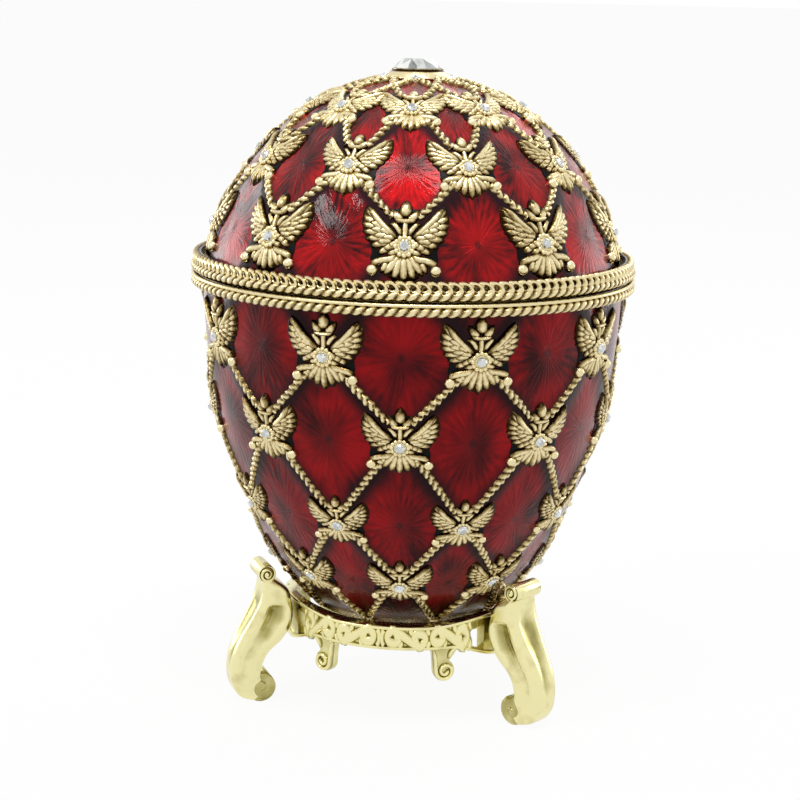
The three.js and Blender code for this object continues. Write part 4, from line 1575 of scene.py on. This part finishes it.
@dataclass
class Catch:
    """A magnet in a boss on each rim, at the front. Each part is above the seam (way 1) or below it (way -1).

    Attributes:
        seam: height of the joint.
        middle: distance of the magnet from the egg's axis.
        reach: where the boss meets the rim's flange.
        boss: radius of the boss.
        magnet: radius of the magnet.
        height: of the magnet.
        clearance: above and below the magnet.
        floor: thickness of the boss beyond the magnet.
        tongue: thickness of the flat piece between boss and flange.
    """

    seam: float
    middle: float = 30.0
    reach: float = 33.9
    boss: float = 2.5
    magnet: float = 1.5
    height: float = 1.2
    clearance: float = 0.3
    floor: float = 0.7
    tongue: float = 0.9

    def placed(self, body: Surface, way: int) -> Surface:
        """A body drawn over height 0 on the Z axis, at its place above or below the seam."""
        return body.moved((0, -self.middle, self.seam), (1, 1, way)).outward()

    def holder(self, way: int) -> list[Surface]:
        """What holds the magnet.

        Args:
            way: 1 above the seam, -1 below it.
        Returns:
            A cup that is open towards the seam and the tongue that joins it to the rim's flange.
        """
        r, m, near = self.boss, self.magnet + 0.15, SEAM_GAP
        deep = near + self.height + 2 * self.clearance
        far = deep + self.floor
        profile = [(0, deep), (m, deep), (m, near), (r - 0.15, near), (r, near + 0.15), (r, far - 0.2)]
        cup = turned(profile + [(r - 0.2, far), (0, far)], 40)
        wide, start = r * 0.8, self.middle + 1.9
        corners = [(-wide, -start), (wide, -start), (wide, -self.reach), (-wide, -self.reach)]
        low, high = ([(x, y, self.seam + way * z) for x, y in corners] for z in (near, near + self.tongue))
        return [self.placed(cup, way), prism(low, high)]

    def disc(self, way: int) -> Surface:
        """The magnet."""
        near = SEAM_GAP + self.clearance
        return self.placed(bar(self.magnet, near, near + self.height, 0.1, 32), way)


@dataclass
class Hinge:
    """The hinge at the rear: two leaves in the bands' notch, three knuckles and a pin.

    Attributes:
        seam: height of its axis.
        axis: distance of its axis from the egg's.
        barrel: radius of the knuckles.
        pin: radius of the pin.
        head: radius of the pin's heads.
        head_height: of a head, along the pin.
        middle: length of the lid's knuckle.
        outer: length of each knuckle of the bowl.
        play: between knuckles.
        leaf: thickness of a leaf.
        inner: distance of a leaf's inner face from the egg's axis.
        setback: from the seam to a leaf.
        room: from the axis to the part of a leaf that passes the other's knuckles.
        soft: how far rims and edges are eased.
    """

    seam: float
    axis: float = 38.3
    barrel: float = 1.5
    pin: float = 0.6
    head: float = 1.1
    head_height: float = 0.4
    middle: float = 5.0
    outer: float = 4.2
    play: float = 0.3
    leaf: float = 1.2
    inner: float = 37.0
    setback: float = 0.35
    room: float = 1.85
    soft: float = 0.15

    def knuckle(self, start: float, end: float, radius: float, bore: float = 0.0) -> Surface:
        """A round bar on the hinge's axis, between two places along X."""
        body = bar(radius, start, end, self.soft, 36, bore)
        return body.mapped(lambda points: points[:, [2, 0, 1]] + (0, self.axis, self.seam)).outward()

    def plate(self, start: float, end: float, low: float, high: float) -> Surface:
        """A flat plate of the leaf, with eased outer edges.

        Args:
            start: its first end along X.
            end: its last end.
            low: its lower edge above the seam.
            high: its upper edge.
        Returns:
            The closed body.
        """
        a, b, soft = self.inner, self.inner + self.leaf, 0.2
        corners = [(a, low), (b - soft, low), (b, low + soft), (b, high - soft), (b - soft, high), (a, high)]
        return prism(*([(x, y, self.seam + z) for y, z in corners] for x in (start, end)))

    def half(self) -> float:
        """Half the length of the row of knuckles."""
        return self.middle / 2 + self.play + self.outer

    def bowl(self, height: float) -> Surface:
        """The bowl's leaf.

        Args:
            height: of the band that it lies in.
        Returns:
            Two knuckles and a plate with room for the middle one.
        """
        half = self.half()
        parts = [self.plate(-half, half, -height + self.play, -self.room)]
        for near, far in ((-half, self.outer - half), (half - self.outer, half)):
            parts.append(self.knuckle(near, far, self.barrel, self.pin + 0.05))
            parts.append(self.plate(near, far, -self.room - 0.1, -self.setback))
        return joined(parts)

    def lid(self, height: float) -> Surface:
        """The lid's leaf.

        Args:
            height: of the band that it lies in.
        Returns:
            One knuckle and a plate with room for the outer ones.
        """
        half = self.middle / 2
        return joined([
            self.plate(-self.half(), self.half(), self.room, height - self.play),
            self.plate(-half, half, self.setback, self.room + 0.1),
            self.knuckle(-half, half, self.barrel, self.pin + 0.05),
        ])

    def pin_part(self) -> Surface:
        """The pin with its two heads.

        Returns:
            Three bars.
        """
        end = self.half() + self.play
        tip = end + self.head_height
        bars = [(-end, end, self.pin), (-tip, -end, self.head), (end, tip, self.head)]
        return joined([self.knuckle(*one) for one in bars])


@dataclass
class Finial:
    """The big crystal in its cup, with a ring of small crystals round it.

    Attributes:
        trellis: the network that the ring of crystals lies on.
        foot: height of the underside of the cup's floor.
        rim: height of the cup's upper edge.
        top: height of the crystal's table.
        cup: outside radius of the cup.
        spread: radius of its foot.
        radius: of the crystal at its girdle.
        ring: distance of the small crystals from the axis.
        bezel: outside radius of a small crystal's setting.
        seat: height of a small crystal above the enamel.
        count: of the small crystals.
    """

    trellis: Trellis
    foot: float
    rim: float
    top: float
    cup: float = 4.85
    spread: float = 5.7
    radius: float = 4.1
    ring: float = 6.5
    bezel: float = 0.95
    seat: float = 0.55
    count: int = 6

    def cup_part(self) -> Surface:
        """The cup: a turned profile with a flared foot, a dark groove under the crystal and a thin rim.

        Returns:
            The closed body, with the groove under the crystal painted dark (tone 0) as the shadow under its
            girdle.
        """
        inner, floor = self.radius + 0.15, self.foot + 0.3
        side, neck = self.foot - 0.45, self.cup - 0.45
        profile = [
            (0, side - 0.3), (self.spread - 0.2, side - 0.3), (self.spread, side),
            (self.spread - 0.1, side + 0.25), (self.cup + 0.2, side + 0.6), (self.cup, side + 0.95),
            (neck + 0.05, side + 1.1),
            (neck, side + 1.2), (neck, self.rim - 0.16), (inner + 0.15, self.rim - 0.12),
            (inner + 0.12, self.rim), (inner + 0.05, self.rim), (inner, self.rim - 0.1), (inner, floor),
            (0, floor),
        ]
        cup = turned(profile, 96)
        radius, level = np.hypot(cup.points[:, 0], cup.points[:, 1]), cup.points[:, 2]
        # The groove under the crystal is painted dark, as the shadow under its girdle.
        groove = (radius < neck + 0.1) & (level > side + 1.05) & (level < self.rim - 0.05)
        return Surface(cup.points, cup.faces, np.where(groove, 0.0, 1.0))

    def settings(self) -> tuple[Surface, ...]:
        """The small settings and their crystals: one is laid on the egg and the rest are turned copies.

        Returns:
            The settings, each a ring of beads over a disc, and the crystals.
        """
        curve = self.trellis.curve
        angle = math.acos(self.ring / curve.radius)
        place = Row(float(curve.meridian(angle)[1]) - curve.seam, 1, 1, 2)
        seat, r = self.seat, self.bezel
        disc = turned([(0, -UNDER), (r - 0.1, -UNDER), (r, 0.4), (r - 0.1, seat), (0, seat)], 14)
        ball = turned([(0, -0.6), (0.8, -0.6), (1, 0.0), (0.71, 0.71), (0, 1)], 7)
        beads = [
            ball.moved(((r - 0.15) * math.cos(t), (r - 0.15) * math.sin(t), seat), 0.25)
            for t in np.arange(8) * TAU / 8
        ]
        stone = brilliant(r - 0.25, 0.5, 8).moved((0, 0, seat))
        turns = np.arange(self.count) * TAU / self.count
        drawn = (joined([disc] + beads), stone)
        laid = [part.mapped(lambda p: self.trellis.on(place, 0, p)).outward() for part in drawn]
        return tuple(joined([part.turned_by(turn) for turn in turns]) for part in laid)

    def crystal(self) -> Surface:
        """The crystal: crown and table above its girdle, pavilion below.

        Returns:
            A closed body of twelve facets round.
        """
        girdle = self.rim - 0.05
        crown = girdle + 0.55 * (self.top - girdle)
        levels = [
            (0.55, self.foot + 0.35, 0.5), (0.98, girdle - 0.1, 0.0), (1.0, girdle + 0.1, 0.0),
            (0.84, crown, 0.5), (0.58, self.top, 1.0),
        ]
        return cut_stone([(self.radius * share, height, shift) for share, height, shift in levels], 12)

    def build(self, shop: Workshop) -> None:
        """Makes the cup, the big crystal and the ring of small ones.

        Args:
            shop: makes the meshes.
        """
        settings, stones = self.settings()
        shop.make("finial_cup", self.cup_part(), EGG_GILT, Body.LID, "finial_bezel")
        shop.make("finial_stone", self.crystal(), FINIAL_STONE, Body.LID, "finial_crystal")
        shop.make("finial_settings", settings, EGG_GILT, Body.LID)
        shop.make("finial_small_stones", stones, STONE, Body.LID)


@dataclass
class Stand:
    """The stand: a gallery ring with a carved frieze and hanging scrolls, and three cabriole legs.

    Attributes:
        bowl: the enamel that the seat follows.
        turn: degrees that it is turned from the egg's hinge.
        radius: outside of the gallery.
        wall: its thickness.
        bottom: height of its lower edge between the scrolls.
        top: height of its upper edge at the middle of a side.
        rise: how much higher that edge is at a leg.
        drop: how much lower the lower edge is at a leg.
        rise_from: degrees from the middle of a side where the upper edge starts to rise.
        drop_from: the same for the lower edge.
        corner: degrees from the middle of a side to the opening beside a leg.
        corner_width: of that opening.
        ground: depth of the frieze's ground.
        seat: height of the slanted seat.
        seat_lift: from the enamel to the seat, which carries the collar.
        legs: the frame's nodes of the legs, in order of azimuth.
    """

    bowl: EggCurve
    turn: float = -8.6
    radius: float = 21.6
    wall: float = 2.3
    bottom: float = 13.3
    top: float = 17.5
    rise: float = 1.2
    drop: float = 2.5
    rise_from: float = 18.0
    drop_from: float = 32.0
    corner: float = 47.0
    corner_width: float = 3.4
    ground: float = 0.55
    seat: float = 1.6
    seat_lift: float = 1.55
    legs: tuple[str, ...] = ("front_right_leg", "rear_leg", "front_left_leg")

    def edges(self, azimuth: Array) -> tuple[Array, Array]:
        """Heights of the gallery's edges, which change smoothly towards the legs.

        Args:
            azimuth: in the stand's own frame.
        Returns:
            The lower and the upper edge.
        """
        side, leg = TAU / 3, 60
        from_middle = np.degrees(np.abs((azimuth + side / 2) % side - side / 2))
        low = self.bottom - self.drop * smooth_step((from_middle - self.drop_from) / (leg - self.drop_from))
        high = self.top + self.rise * smooth_step((from_middle - self.rise_from) / (leg - self.rise_from))
        return low, high

    def placed(self, surface: Surface) -> Surface:
        """A surface of the stand's own frame, turned into the egg's."""
        return surface.turned_by(math.radians(self.turn))

    def ring(self) -> Surface:
        """The gallery's body: an upper and a lower rail that follow both edges, and the pierced wall between.

        Returns:
            All its parts.
        """
        azimuth = (np.arange(360) * TAU / 360)[:, None]
        low, high = self.edges(azimuth)
        r, g, inner = self.radius, self.radius - self.ground, self.radius - self.wall
        seat_foot = np.full_like(high, self.top - self.seat)
        seat_high, seat_low = (self.bowl.radius_at(level, self.seat_lift) for level in (high, seat_foot))
        upper = [
            (g, high - 0.8), (r - 0.05, high - 0.6), (r + 0.05, high - 0.3), (r - 0.05, high - 0.08),
            (r - 0.3, high), (seat_high + 0.15, high), (seat_high, high - 0.12), (seat_low, seat_foot),
            (inner, seat_foot - 0.5), (inner, high - 2.0), (g, high - 2.0),
        ]
        lower = [
            (inner + 0.3, low), (r - 0.3, low), (r - 0.08, low + 0.1), (r, low + 0.3), (r - 0.05, low + 0.55),
            (g, low + 0.75), (inner, low + 0.75), (inner, low + 0.3),
        ]
        parts = [self.rail(section, azimuth, True) for section in (upper, lower)]
        # Between the rails the wall is pierced beside each leg.
        half = self.corner_width / 2 / self.radius
        corner = math.radians(self.corner)
        cuts = sorted(side * TAU / 3 + way * corner for side in range(3) for way in (-1, 1))
        for start, end in zip(cuts, cuts[1:] + [cuts[0] + TAU]):
            span = np.linspace(start + half, end - half, 60)[:, None]
            low, high = self.edges(span)
            wall = [(g, low + 0.7), (g, high - 1.9), (inner, high - 1.9), (inner, low + 0.7)]
            parts.append(self.rail(wall, span, False))
        return joined(parts)

    def rail(self, section: Sequence[tuple], azimuth: Array, loop: bool) -> Surface:
        """A part of the gallery.

        Args:
            section: its corners, in order; each is a radius and the heights at every azimuth.
            azimuth: of the rings, in a column.
            loop: whether it runs all the way round.
        Returns:
            The closed body, with shade painted on the frieze's ground.
        """
        one = np.ones_like(azimuth)
        radius = np.concatenate([one * corner[0] for corner in section], axis=1)
        height = np.concatenate([one * corner[1] for corner in section], axis=1)
        # The frieze's ground, set back from the rails, is painted darker as shade.
        tone = np.where(np.abs(radius - self.radius + self.ground) < 0.01, 0.58, 0.9)
        return tube(around(radius, azimuth, height), tone, loop=loop).outward()

    def on_frieze(self, points: Array, middle: float) -> Array:
        """Lays a relief (x, y, height) on the frieze.

        Args:
            points: (n, 3); y runs from -1 at the lower edge to 1 at the upper edge.
            middle: azimuth of x = 0.
        Returns:
            (n, 3) places.
        """
        azimuth = middle + points[:, 0] / self.radius
        low, high = self.edges(azimuth)
        height = (low + high) / 2 + points[:, 1] * (high - low - 1.1) / 2
        return around(self.radius - self.ground + points[:, 2], azimuth, height)

    def frieze(self) -> Surface:
        """Mirrored S-scrolls with small leaves, four on each side of the stand, and two brackets between.

        A scroll is a spiral that opens from its eye to its top, then the same spiral turned half round.

        Returns:
            The whole relief.
        """
        opened = np.linspace(0, 1, 15)[:, None]
        turn = math.pi / 2 + (1 - opened) * 1.1 * TAU
        coil = 0.25 + 0.75 * opened
        first = np.hstack([1.5 * coil * np.cos(turn) - 2.05, 0.86 * coil * np.sin(turn)])
        wave = np.vstack([first, -first[::-1]])
        bracket = ((0.85, -1.05), (0.3, -0.5), (0.3, 0.5), (0.85, 1.05))
        half = [(Stroke(bracket, 1.0, 0.6, 0.0, 0.1, 0.1), 9)]
        for place in (4.5, 12.3):
            half.append((Stroke(tuple((place + x, y) for x, y in wave), 1.4, 0.75, 0.0, 0.05, 0.05), 70))
            for end, up in ((place + 0.9, 1.0), (place - 0.9, -1.0), (place + 3.9, -1.0), (place + 3.8, 1.0)):
                leaf = ((end - 0.6, up * 1.1), (end, up * 0.65), (end + 0.3, up * 0.15))
                half.append((Stroke(leaf, 1.0, 0.6, 0.0, 0.2, 0.4), 9))
        parts = [
            (stroke if way > 0 else stroke.mirrored()).surface(steps, 8).mapped(
                lambda p, m=side * TAU / 3: self.on_frieze(p, m)
            )
            for side in range(3) for way in (-1, 1) for stroke, steps in half
        ]
        return joined([part.outward() for part in parts])

    def pendant(self, side: int, way: int) -> Surface:
        """A hanging scroll: a flat comma with a raised rib along its outer edge that winds into its eye.

        Args:
            side: number of the stand's side.
            way: -1 for the first half of the side, 1 for the last.
        Returns:
            The comma with its rib and a short leaf.
        """
        azimuth = side * TAU / 3 + way * math.radians(30.5)
        low = float(self.edges(np.array([azimuth]))[0][0])
        eye, radius, floor = -3.9, 2.0, -self.wall + 0.05
        bottom = np.linspace(math.pi, 1.95 * math.pi, 8)
        outline = [(-2.9, 0.9), (-2.35, -0.8), (-2.1, -2.4)]
        outline += [(radius * math.cos(a), eye + radius * math.sin(a)) for a in bottom]
        outline += [(1.7, -3.0), (0.9, -2.1), (1.2, -0.9), (2.9, 0.9)]
        turn = np.linspace(math.pi, math.pi + 1.6 * TAU, 24)
        coil = np.linspace(1.62, 0.3, 24)
        spiral = [(-2.45, 0.7), (-1.9, -1.2)]
        spiral += [(c * math.cos(a), eye + c * math.sin(a)) for a, c in zip(turn, coil)]
        rib = Stroke(tuple((way * x, y) for x, y in spiral), 0.85, 0.75, -0.7, 0.04, 0.06)
        leaf = Stroke(((way * 2.4, 0.8), (way * 1.0, -0.7), (way * 0.45, -1.9)), 0.9, 0.7, -0.7, 0.1, 0.4)
        # The comma's plate, sunk behind its rib, is painted darker as shade.
        body = plate([(way * x, y) for x, y in outline], -0.6, 0.65, floor)
        return joined([
            part.mapped(
                lambda p: around(self.radius + p[:, 2], azimuth + p[:, 0] / self.radius, low + p[:, 1])
            ).outward()
            for part in (body, rib.surface(70, 8), leaf.surface(12, 8))
        ])

    def scroll(
        self, out: float, height: float, radius: float, half: float, cut: float = 1.0, turns: float = 2.2
    ) -> Surface:
        """A roll across a leg with a spiral cut in both ends.

        Args:
            out: distance of its middle from the egg's axis.
            height: of its middle.
            radius: of the roll.
            half: half its length.
            cut: depth of the spiral.
            turns: of the spiral.
        Returns:
            The closed body, in the frame of a leg at azimuth 0, with shade painted in the spiral cut.
        """
        share = np.concatenate([np.linspace(0.04, 0.96, 26), [1.0]])[:, None]
        angle = (np.arange(72) * TAU / 72)[None, :]
        ends = []
        for way in (-1, 1):
            spiral = (share * turns - way * angle / TAU) % 1.0
            groove = np.exp(-(((spiral - 0.5) / 0.16) ** 2)) * smooth_step((share - 0.12) / 0.1)
            groove = groove * (1 - smooth_step((share - 0.9) / 0.1))
            dome = 0.55 * (1 - share) ** 1.2
            x = way * (half - 0.12 * (share > 0.98) + dome - 0.42 * cut * groove)
            # The tone paints shade in the spiral cut.
            end = np.stack([x, share * radius * np.ones_like(angle), 0.95 - 0.85 * cut * groove])
            ends.append(end[:, ::-way])
        x, r, tone = np.concatenate(ends, axis=1)
        points = np.stack([x, -out + r * np.cos(angle), height + r * np.sin(angle)], axis=2)
        return tube(points, tone).outward()

    def leg(self) -> Surface:
        """A cabriole leg at azimuth 0: rounded sections along a curved middle line, with a sunk panel.

        Returns:
            The closed body.
        """
        stations = np.array([
            # outer face: out from the gallery, height; inner face: the same; half width; depth of the panel
            [5.7, 22.6, 3.7, 22.4, 3.1, 0.0],
            [5.4, 21.0, 1.0, 20.3, 3.7, 0.0],
            [5.8, 18.9, 0.3, 18.1, 3.8, 0.35],
            [6.5, 17.0, 0.0, 16.0, 3.8, 1.0],
            [7.8, 14.5, 0.3, 13.6, 3.7, 1.0],
            [9.3, 11.8, 1.8, 11.1, 3.5, 1.0],
            [10.4, 9.2, 4.0, 9.1, 3.3, 1.0],
            [10.9, 7.0, 5.0, 7.4, 3.15, 0.8],
            [11.0, 4.8, 5.4, 5.8, 3.05, 0.2],
            [10.5, 2.5, 5.3, 4.2, 3.0, 0.0],
            [9.2, 0.8, 5.1, 3.2, 2.95, 0.0],
            [7.2, 0.1, 5.0, 2.6, 2.9, 0.0],
        ])
        fine = spline(stations, 110)
        outer = np.stack([-self.radius - fine[:, 0], fine[:, 1]], axis=1)
        inner = np.stack([-self.radius - fine[:, 2], fine[:, 3]], axis=1)
        half, sunk = fine[:, 4:5], np.clip(fine[:, 5:6], 0, 1)
        # The section is a superellipse; depth runs from 0 on the outer face to 1 on the inner.
        turn = np.linspace(0, TAU, 96, endpoint=False)[None, :]
        boxy = 0.42
        across = np.sign(np.cos(turn)) * np.abs(np.cos(turn)) ** boxy
        depth = (1 + np.sign(np.sin(turn)) * np.abs(np.sin(turn)) ** boxy) / 2
        share = np.linspace(0, 1, len(fine))[:, None]
        front = smooth_step((0.2 - depth) / 0.1)
        panel = 0.6 * (1 - smooth_step((share - 0.3) / 0.42) * 0.75)
        cut = sunk * smooth_step((panel - np.abs(across)) / 0.36) * front
        thick = np.linalg.norm(inner - outer, axis=1)[:, None]
        # The hollow in each side starts wide and deep under the shoulder and runs out at the ankle.
        run = smooth_step((share - 0.2) / 0.06) * (1 - smooth_step((share - 0.66) / 0.1))
        middle = 0.5 - 0.12 * smooth_step((share - 0.3) / 0.3)
        width = 0.3 - 0.14 * smooth_step((share - 0.3) / 0.35)
        deep = 0.95 - 0.5 * smooth_step((share - 0.34) / 0.12)
        face = smooth_step((np.abs(across) - 0.8) / 0.1)
        hollow = run * deep * smooth_step((width - np.abs(depth - middle)) / 0.2) * face
        edge = 0.22 * run * np.exp(-(((np.abs(depth - middle) - width - 0.06) / 0.05) ** 2)) * face
        depth = depth + 0.4 * cut / thick
        x = half * across - np.sign(across) * (hollow - edge)
        out, height = (outer[:, n:n + 1] + (inner - outer)[:, n:n + 1] * depth for n in (0, 1))
        # The tone paints shade in the sunk panel and the side hollows.
        return tube(np.stack([x, out, height], axis=2), 0.9 - 0.6 * np.maximum(0.9 * cut, hollow)).outward()

    def leg_parts(self, number: int) -> Surface:
        """One whole leg: body, top roll and foot scroll with a flat sole.

        Args:
            number: of the leg, in order of azimuth.
        Returns:
            The leg at its place.
        """
        roll = self.scroll(self.radius + 4.9, 23.3, 1.5, 3.3)
        # The foot scroll is painted darker all over, as shade.
        foot = self.scroll(self.radius + 5.7, 2.6, 2.6, 2.75, 0.5, 1.4).shaded(0.5)
        flat = joined([self.leg(), roll, foot]).mapped(lambda p: np.maximum(p, (-np.inf, -np.inf, 0.0)))
        return self.placed(flat.turned_by((number + 0.5) * TAU / 3))

    def build(self, shop: Workshop) -> None:
        """Makes the gallery and the legs.

        Args:
            shop: makes the meshes.
        """
        pendants = [self.pendant(side, way) for side in range(3) for way in (-1, 1)]
        gallery = self.placed(joined([self.ring(), self.frieze()] + pendants))
        shop.make("gallery", gallery, STAND_GILT, Body.STAND, "gallery_ring")
        for number, node in enumerate(self.legs):
            shop.make(f"{node}_carved", self.leg_parts(number), STAND_GILT, Body.STAND, node)


@dataclass
class Studio:
    """A pale floor, soft lamps and the camera at the photograph's angle.

    Attributes:
        target: height of the middle of the seam, in millimetres.
        distance: from there to the camera.
        azimuth: degrees of the camera from the front.
        elevation: degrees of the camera above the seam.
        place: where the middle of the seam appears, in pixels.
        roll: degrees that the image is turned clockwise.
        focal: focal length in pixels.
        size: width of the image in pixels.
        film: width of the camera's film, in millimetres.
        reach: half the width of the floor, in metres.
        wash: how much of the floor, where it is seen, is plain white.
        ambient: brightness of the world where it only gives light.
        aim: height that the lamps face, in metres.
        lamps: for each lamp its name, place in metres, level side, other side and power in watts.
    """

    target: float
    distance: float = 346.5
    azimuth: float = 2.4
    elevation: float = 7.76
    place: tuple[float, float] = (413.0, 270.0)
    roll: float = 1.32
    focal: float = 1986.0
    size: float = 800.0
    film: float = 36.0
    reach: float = 60.0
    wash: float = 0.93
    ambient: float = 0.45
    aim: float = 0.06
    lamps: tuple[tuple[str, tuple[float, float, float], float, float, float], ...] = (
        ("overhead", (0.0, -0.24, 0.82), 0.42, 0.15, 2.7),
        ("left", (-0.5, -0.35, 0.55), 0.1, 0.1, 0.7),
        ("rear", (0.2, 0.5, 0.5), 0.4, 0.4, 0.8),
        ("left_side", (-0.5, 0.33, 0.12), 0.22, 0.3, 0.6),
        ("right_side", (0.5, 0.33, 0.1), 0.18, 0.3, 0.4),
    )

    def link(self, name: str, data: bpy.types.ID) -> bpy.types.Object:
        """Puts a new object with the given data into the scene.

        Args:
            name: of the object.
            data: its mesh, lamp or camera.
        Returns:
            The object.
        """
        thing = bpy.data.objects.new(name, data)
        bpy.context.scene.collection.objects.link(thing)
        return thing

    def camera(self) -> None:
        """Adds the camera, turned until the seam's middle appears at its place."""
        data = bpy.data.cameras.new("camera")
        data.sensor_width = self.film
        data.lens = self.focal / self.size * self.film
        data.clip_start = 0.01
        camera = self.link("camera", data)
        a, e = math.radians(self.azimuth), math.radians(self.elevation)
        back = Vector((math.sin(a) * math.cos(e), -math.cos(a) * math.cos(e), math.sin(e)))
        target = Vector((0, 0, self.target * MM))
        right, down = self.place[0] - self.size / 2, self.place[1] - self.size / 2
        roll = math.radians(self.roll)
        across = right * math.cos(roll) + down * math.sin(roll)
        below = down * math.cos(roll) - right * math.sin(roll)
        yaw, pitch = math.atan2(across, self.focal), math.atan2(below, self.focal)
        turn = back.to_track_quat("Z", "Y").to_matrix()
        for angle, axis in ((yaw, "Y"), (pitch, "X"), (roll, "Z")):
            turn = turn @ Matrix.Rotation(angle, 3, axis)
        camera.matrix_world = Matrix.Translation(target + back * self.distance * MM) @ turn.to_4x4()
        bpy.context.scene.camera = camera

    def light(self) -> None:
        """Adds the lamps, rectangles that face the egg."""
        for name, place, wide, deep, power in self.lamps:
            data = bpy.data.lights.new(name, "AREA")
            data.shape = "RECTANGLE"
            data.size, data.size_y = wide, deep
            data.energy = power
            lamp = self.link(name, data)
            lamp.location = place
            back = Vector(place) - Vector((0, 0, self.aim))
            lamp.rotation_euler = back.to_track_quat("Z", "Y").to_euler()

    def backdrop(self) -> None:
        """A floor of white paper that keeps a soft shadow, and a white world, both brighter when seen."""
        nodes = Nodes(bpy.data.materials.new("white_paper"))
        seen = nodes.math("MULTIPLY", nodes.seen(), self.wash)
        nodes.finished({"Base Color": srgb("#FAFAFA"), "Roughness": 0.9})
        paper = nodes.tree.nodes["Principled BSDF"].outputs[0]
        glow = nodes.add("Emission", {"Color": WHITE, "Strength": 1.0}).outputs[0]
        nodes.show("Material Output", seen, paper, glow)
        mesh = bpy.data.meshes.new("floor")
        corners = [(x * self.reach, y * self.reach, 0) for x, y in ((-1, -1), (1, -1), (1, 1), (-1, 1))]
        mesh.from_pydata(corners, [], [(0, 1, 2, 3)])
        mesh.materials.append(nodes.owner)
        self.link("floor", mesh)

        world = Nodes(bpy.data.worlds.new("studio"))
        bpy.context.scene.world = world.owner
        lights = (self.ambient, 1.0)
        dim, bright = (world.add("Background", {0: WHITE, 1: light}).outputs[0] for light in lights)
        world.show("World Output", world.seen(), dim, bright)

    def build(self) -> None:
        """Sets up the whole studio."""
        self.camera()
        self.backdrop()
        self.light()
        bpy.context.scene.view_settings.view_transform = "Standard"


def rows_of(extent: float, first: int, sizes: Sequence[tuple[float, float, float]]) -> list[Row]:
    """Rows of ornaments.

    Args:
        extent: height of the pole above the seam, negative for the bowl.
        first: number of the first row.
        sizes: for each row the share of the extent where it lies, and its ornaments' width and height.
    Returns:
        The rows, numbered onwards.
    """
    return [Row(share * extent, wide, tall, first + n) for n, (share, wide, tall) in enumerate(sizes)]


def halves(seam: float, depth: float, rise: float) -> tuple[EggHalf, EggHalf]:
    """The bowl and the lid.

    Args:
        seam: height of the joint.
        depth: from the seam to the bowl's pole.
        rise: from the seam to the lid's pole.
    Returns:
        Both halves.
    """
    drop = 7.3  # from the seam to the level where the lid's ellipsoid would be widest
    bowl = Trellis(
        EggCurve(36.3, depth, seam, -1, seam),
        rows_of(
            -depth, 1, [(0.14, 13.4, 13.2), (0.359, 12.8, 12.0), (0.586, 11.2, 10.0), (0.761, 11.4, 10.4)]
        ),
        rows_of(-depth, 5, [(0.895, 4.0, 4.0)]),
    )
    lid = Trellis(
        EggCurve(36.4, rise + drop, seam - drop, 1, seam),
        rows_of(rise, 0, [(0.255, 13.9, 14.4), (0.6, 12.2, 12.4), (0.85, 11.6, 11.6)]),
        rows_of(rise, 3, [(0.955, 4.0, 4.0), (0.989, 4.0, 4.0)]),
    )
    return (
        EggHalf(Body.BOWL, bowl, BOWL_ENAMEL, -1.35, ((16.3, 11.9, 1.0),), underside_shade=0.75),
        EggHalf(Body.LID, lid, LID_ENAMEL, 1.35, shade_power_step=1.2),
    )


def close(shop: Workshop, seam: float) -> None:
    """Makes what closes the box: bands, catch and hinge.

    Args:
        shop: makes the meshes.
        seam: height of the joint.
    """
    bands, catch, hinge = Bands(seam), Catch(seam), Hinge(seam)
    for name, surface, finish, body, node in (
        ("bowl_band", joined(bands.bowl() + catch.holder(-1)), EGG_GILT, Body.BOWL, "bowl_rim"),
        ("lid_band", joined(bands.lid() + catch.holder(1)), EGG_GILT, Body.LID, "lid_rim"),
        ("bowl_catch_magnet", catch.disc(-1), STEEL, Body.BOWL, "bowl_magnet"),
        ("lid_catch_magnet", catch.disc(1), STEEL, Body.LID, "lid_magnet"),
        ("bowl_hinge", hinge.bowl(bands.bowl_height), EGG_GILT, Body.BOWL, "bowl_hinge_leaf"),
        ("lid_hinge", hinge.lid(bands.lid_height), EGG_GILT, Body.LID, "lid_hinge_leaf"),
        ("hinge_pin_polished", hinge.pin_part(), STEEL, Body.BOWL, "hinge_pin"),
    ):
        shop.make(name, surface, finish, body, node)


def main() -> None:
    """Builds the egg, its stand and the studio, and reports each piece."""
    logging.basicConfig(level=logging.INFO, format="%(message)s")
    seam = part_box("lid_rim")[0].z / MM - SEAM_GAP
    depth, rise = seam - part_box("bowl_shell")[0].z / MM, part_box("lid_shell")[1].z / MM - seam
    log.info("seam at %.2f, bowl %.2f deep, lid %.2f high", seam, depth, rise)
    shop, emblem = Workshop(), Emblem()
    bowl, lid = halves(seam, depth, rise)
    for half in (bowl, lid):
        half.shell(shop)
        half.dress(shop, emblem)
    close(shop, seam)
    rim, top = (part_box(node)[1].z / MM for node in ("finial_bezel", "finial_crystal"))
    Finial(lid.trellis, seam + rise + 0.3, rim, top).build(shop)
    Stand(bowl.trellis.curve).build(shop)
    Studio(seam).build()


if __name__ == "__main__":
    main()
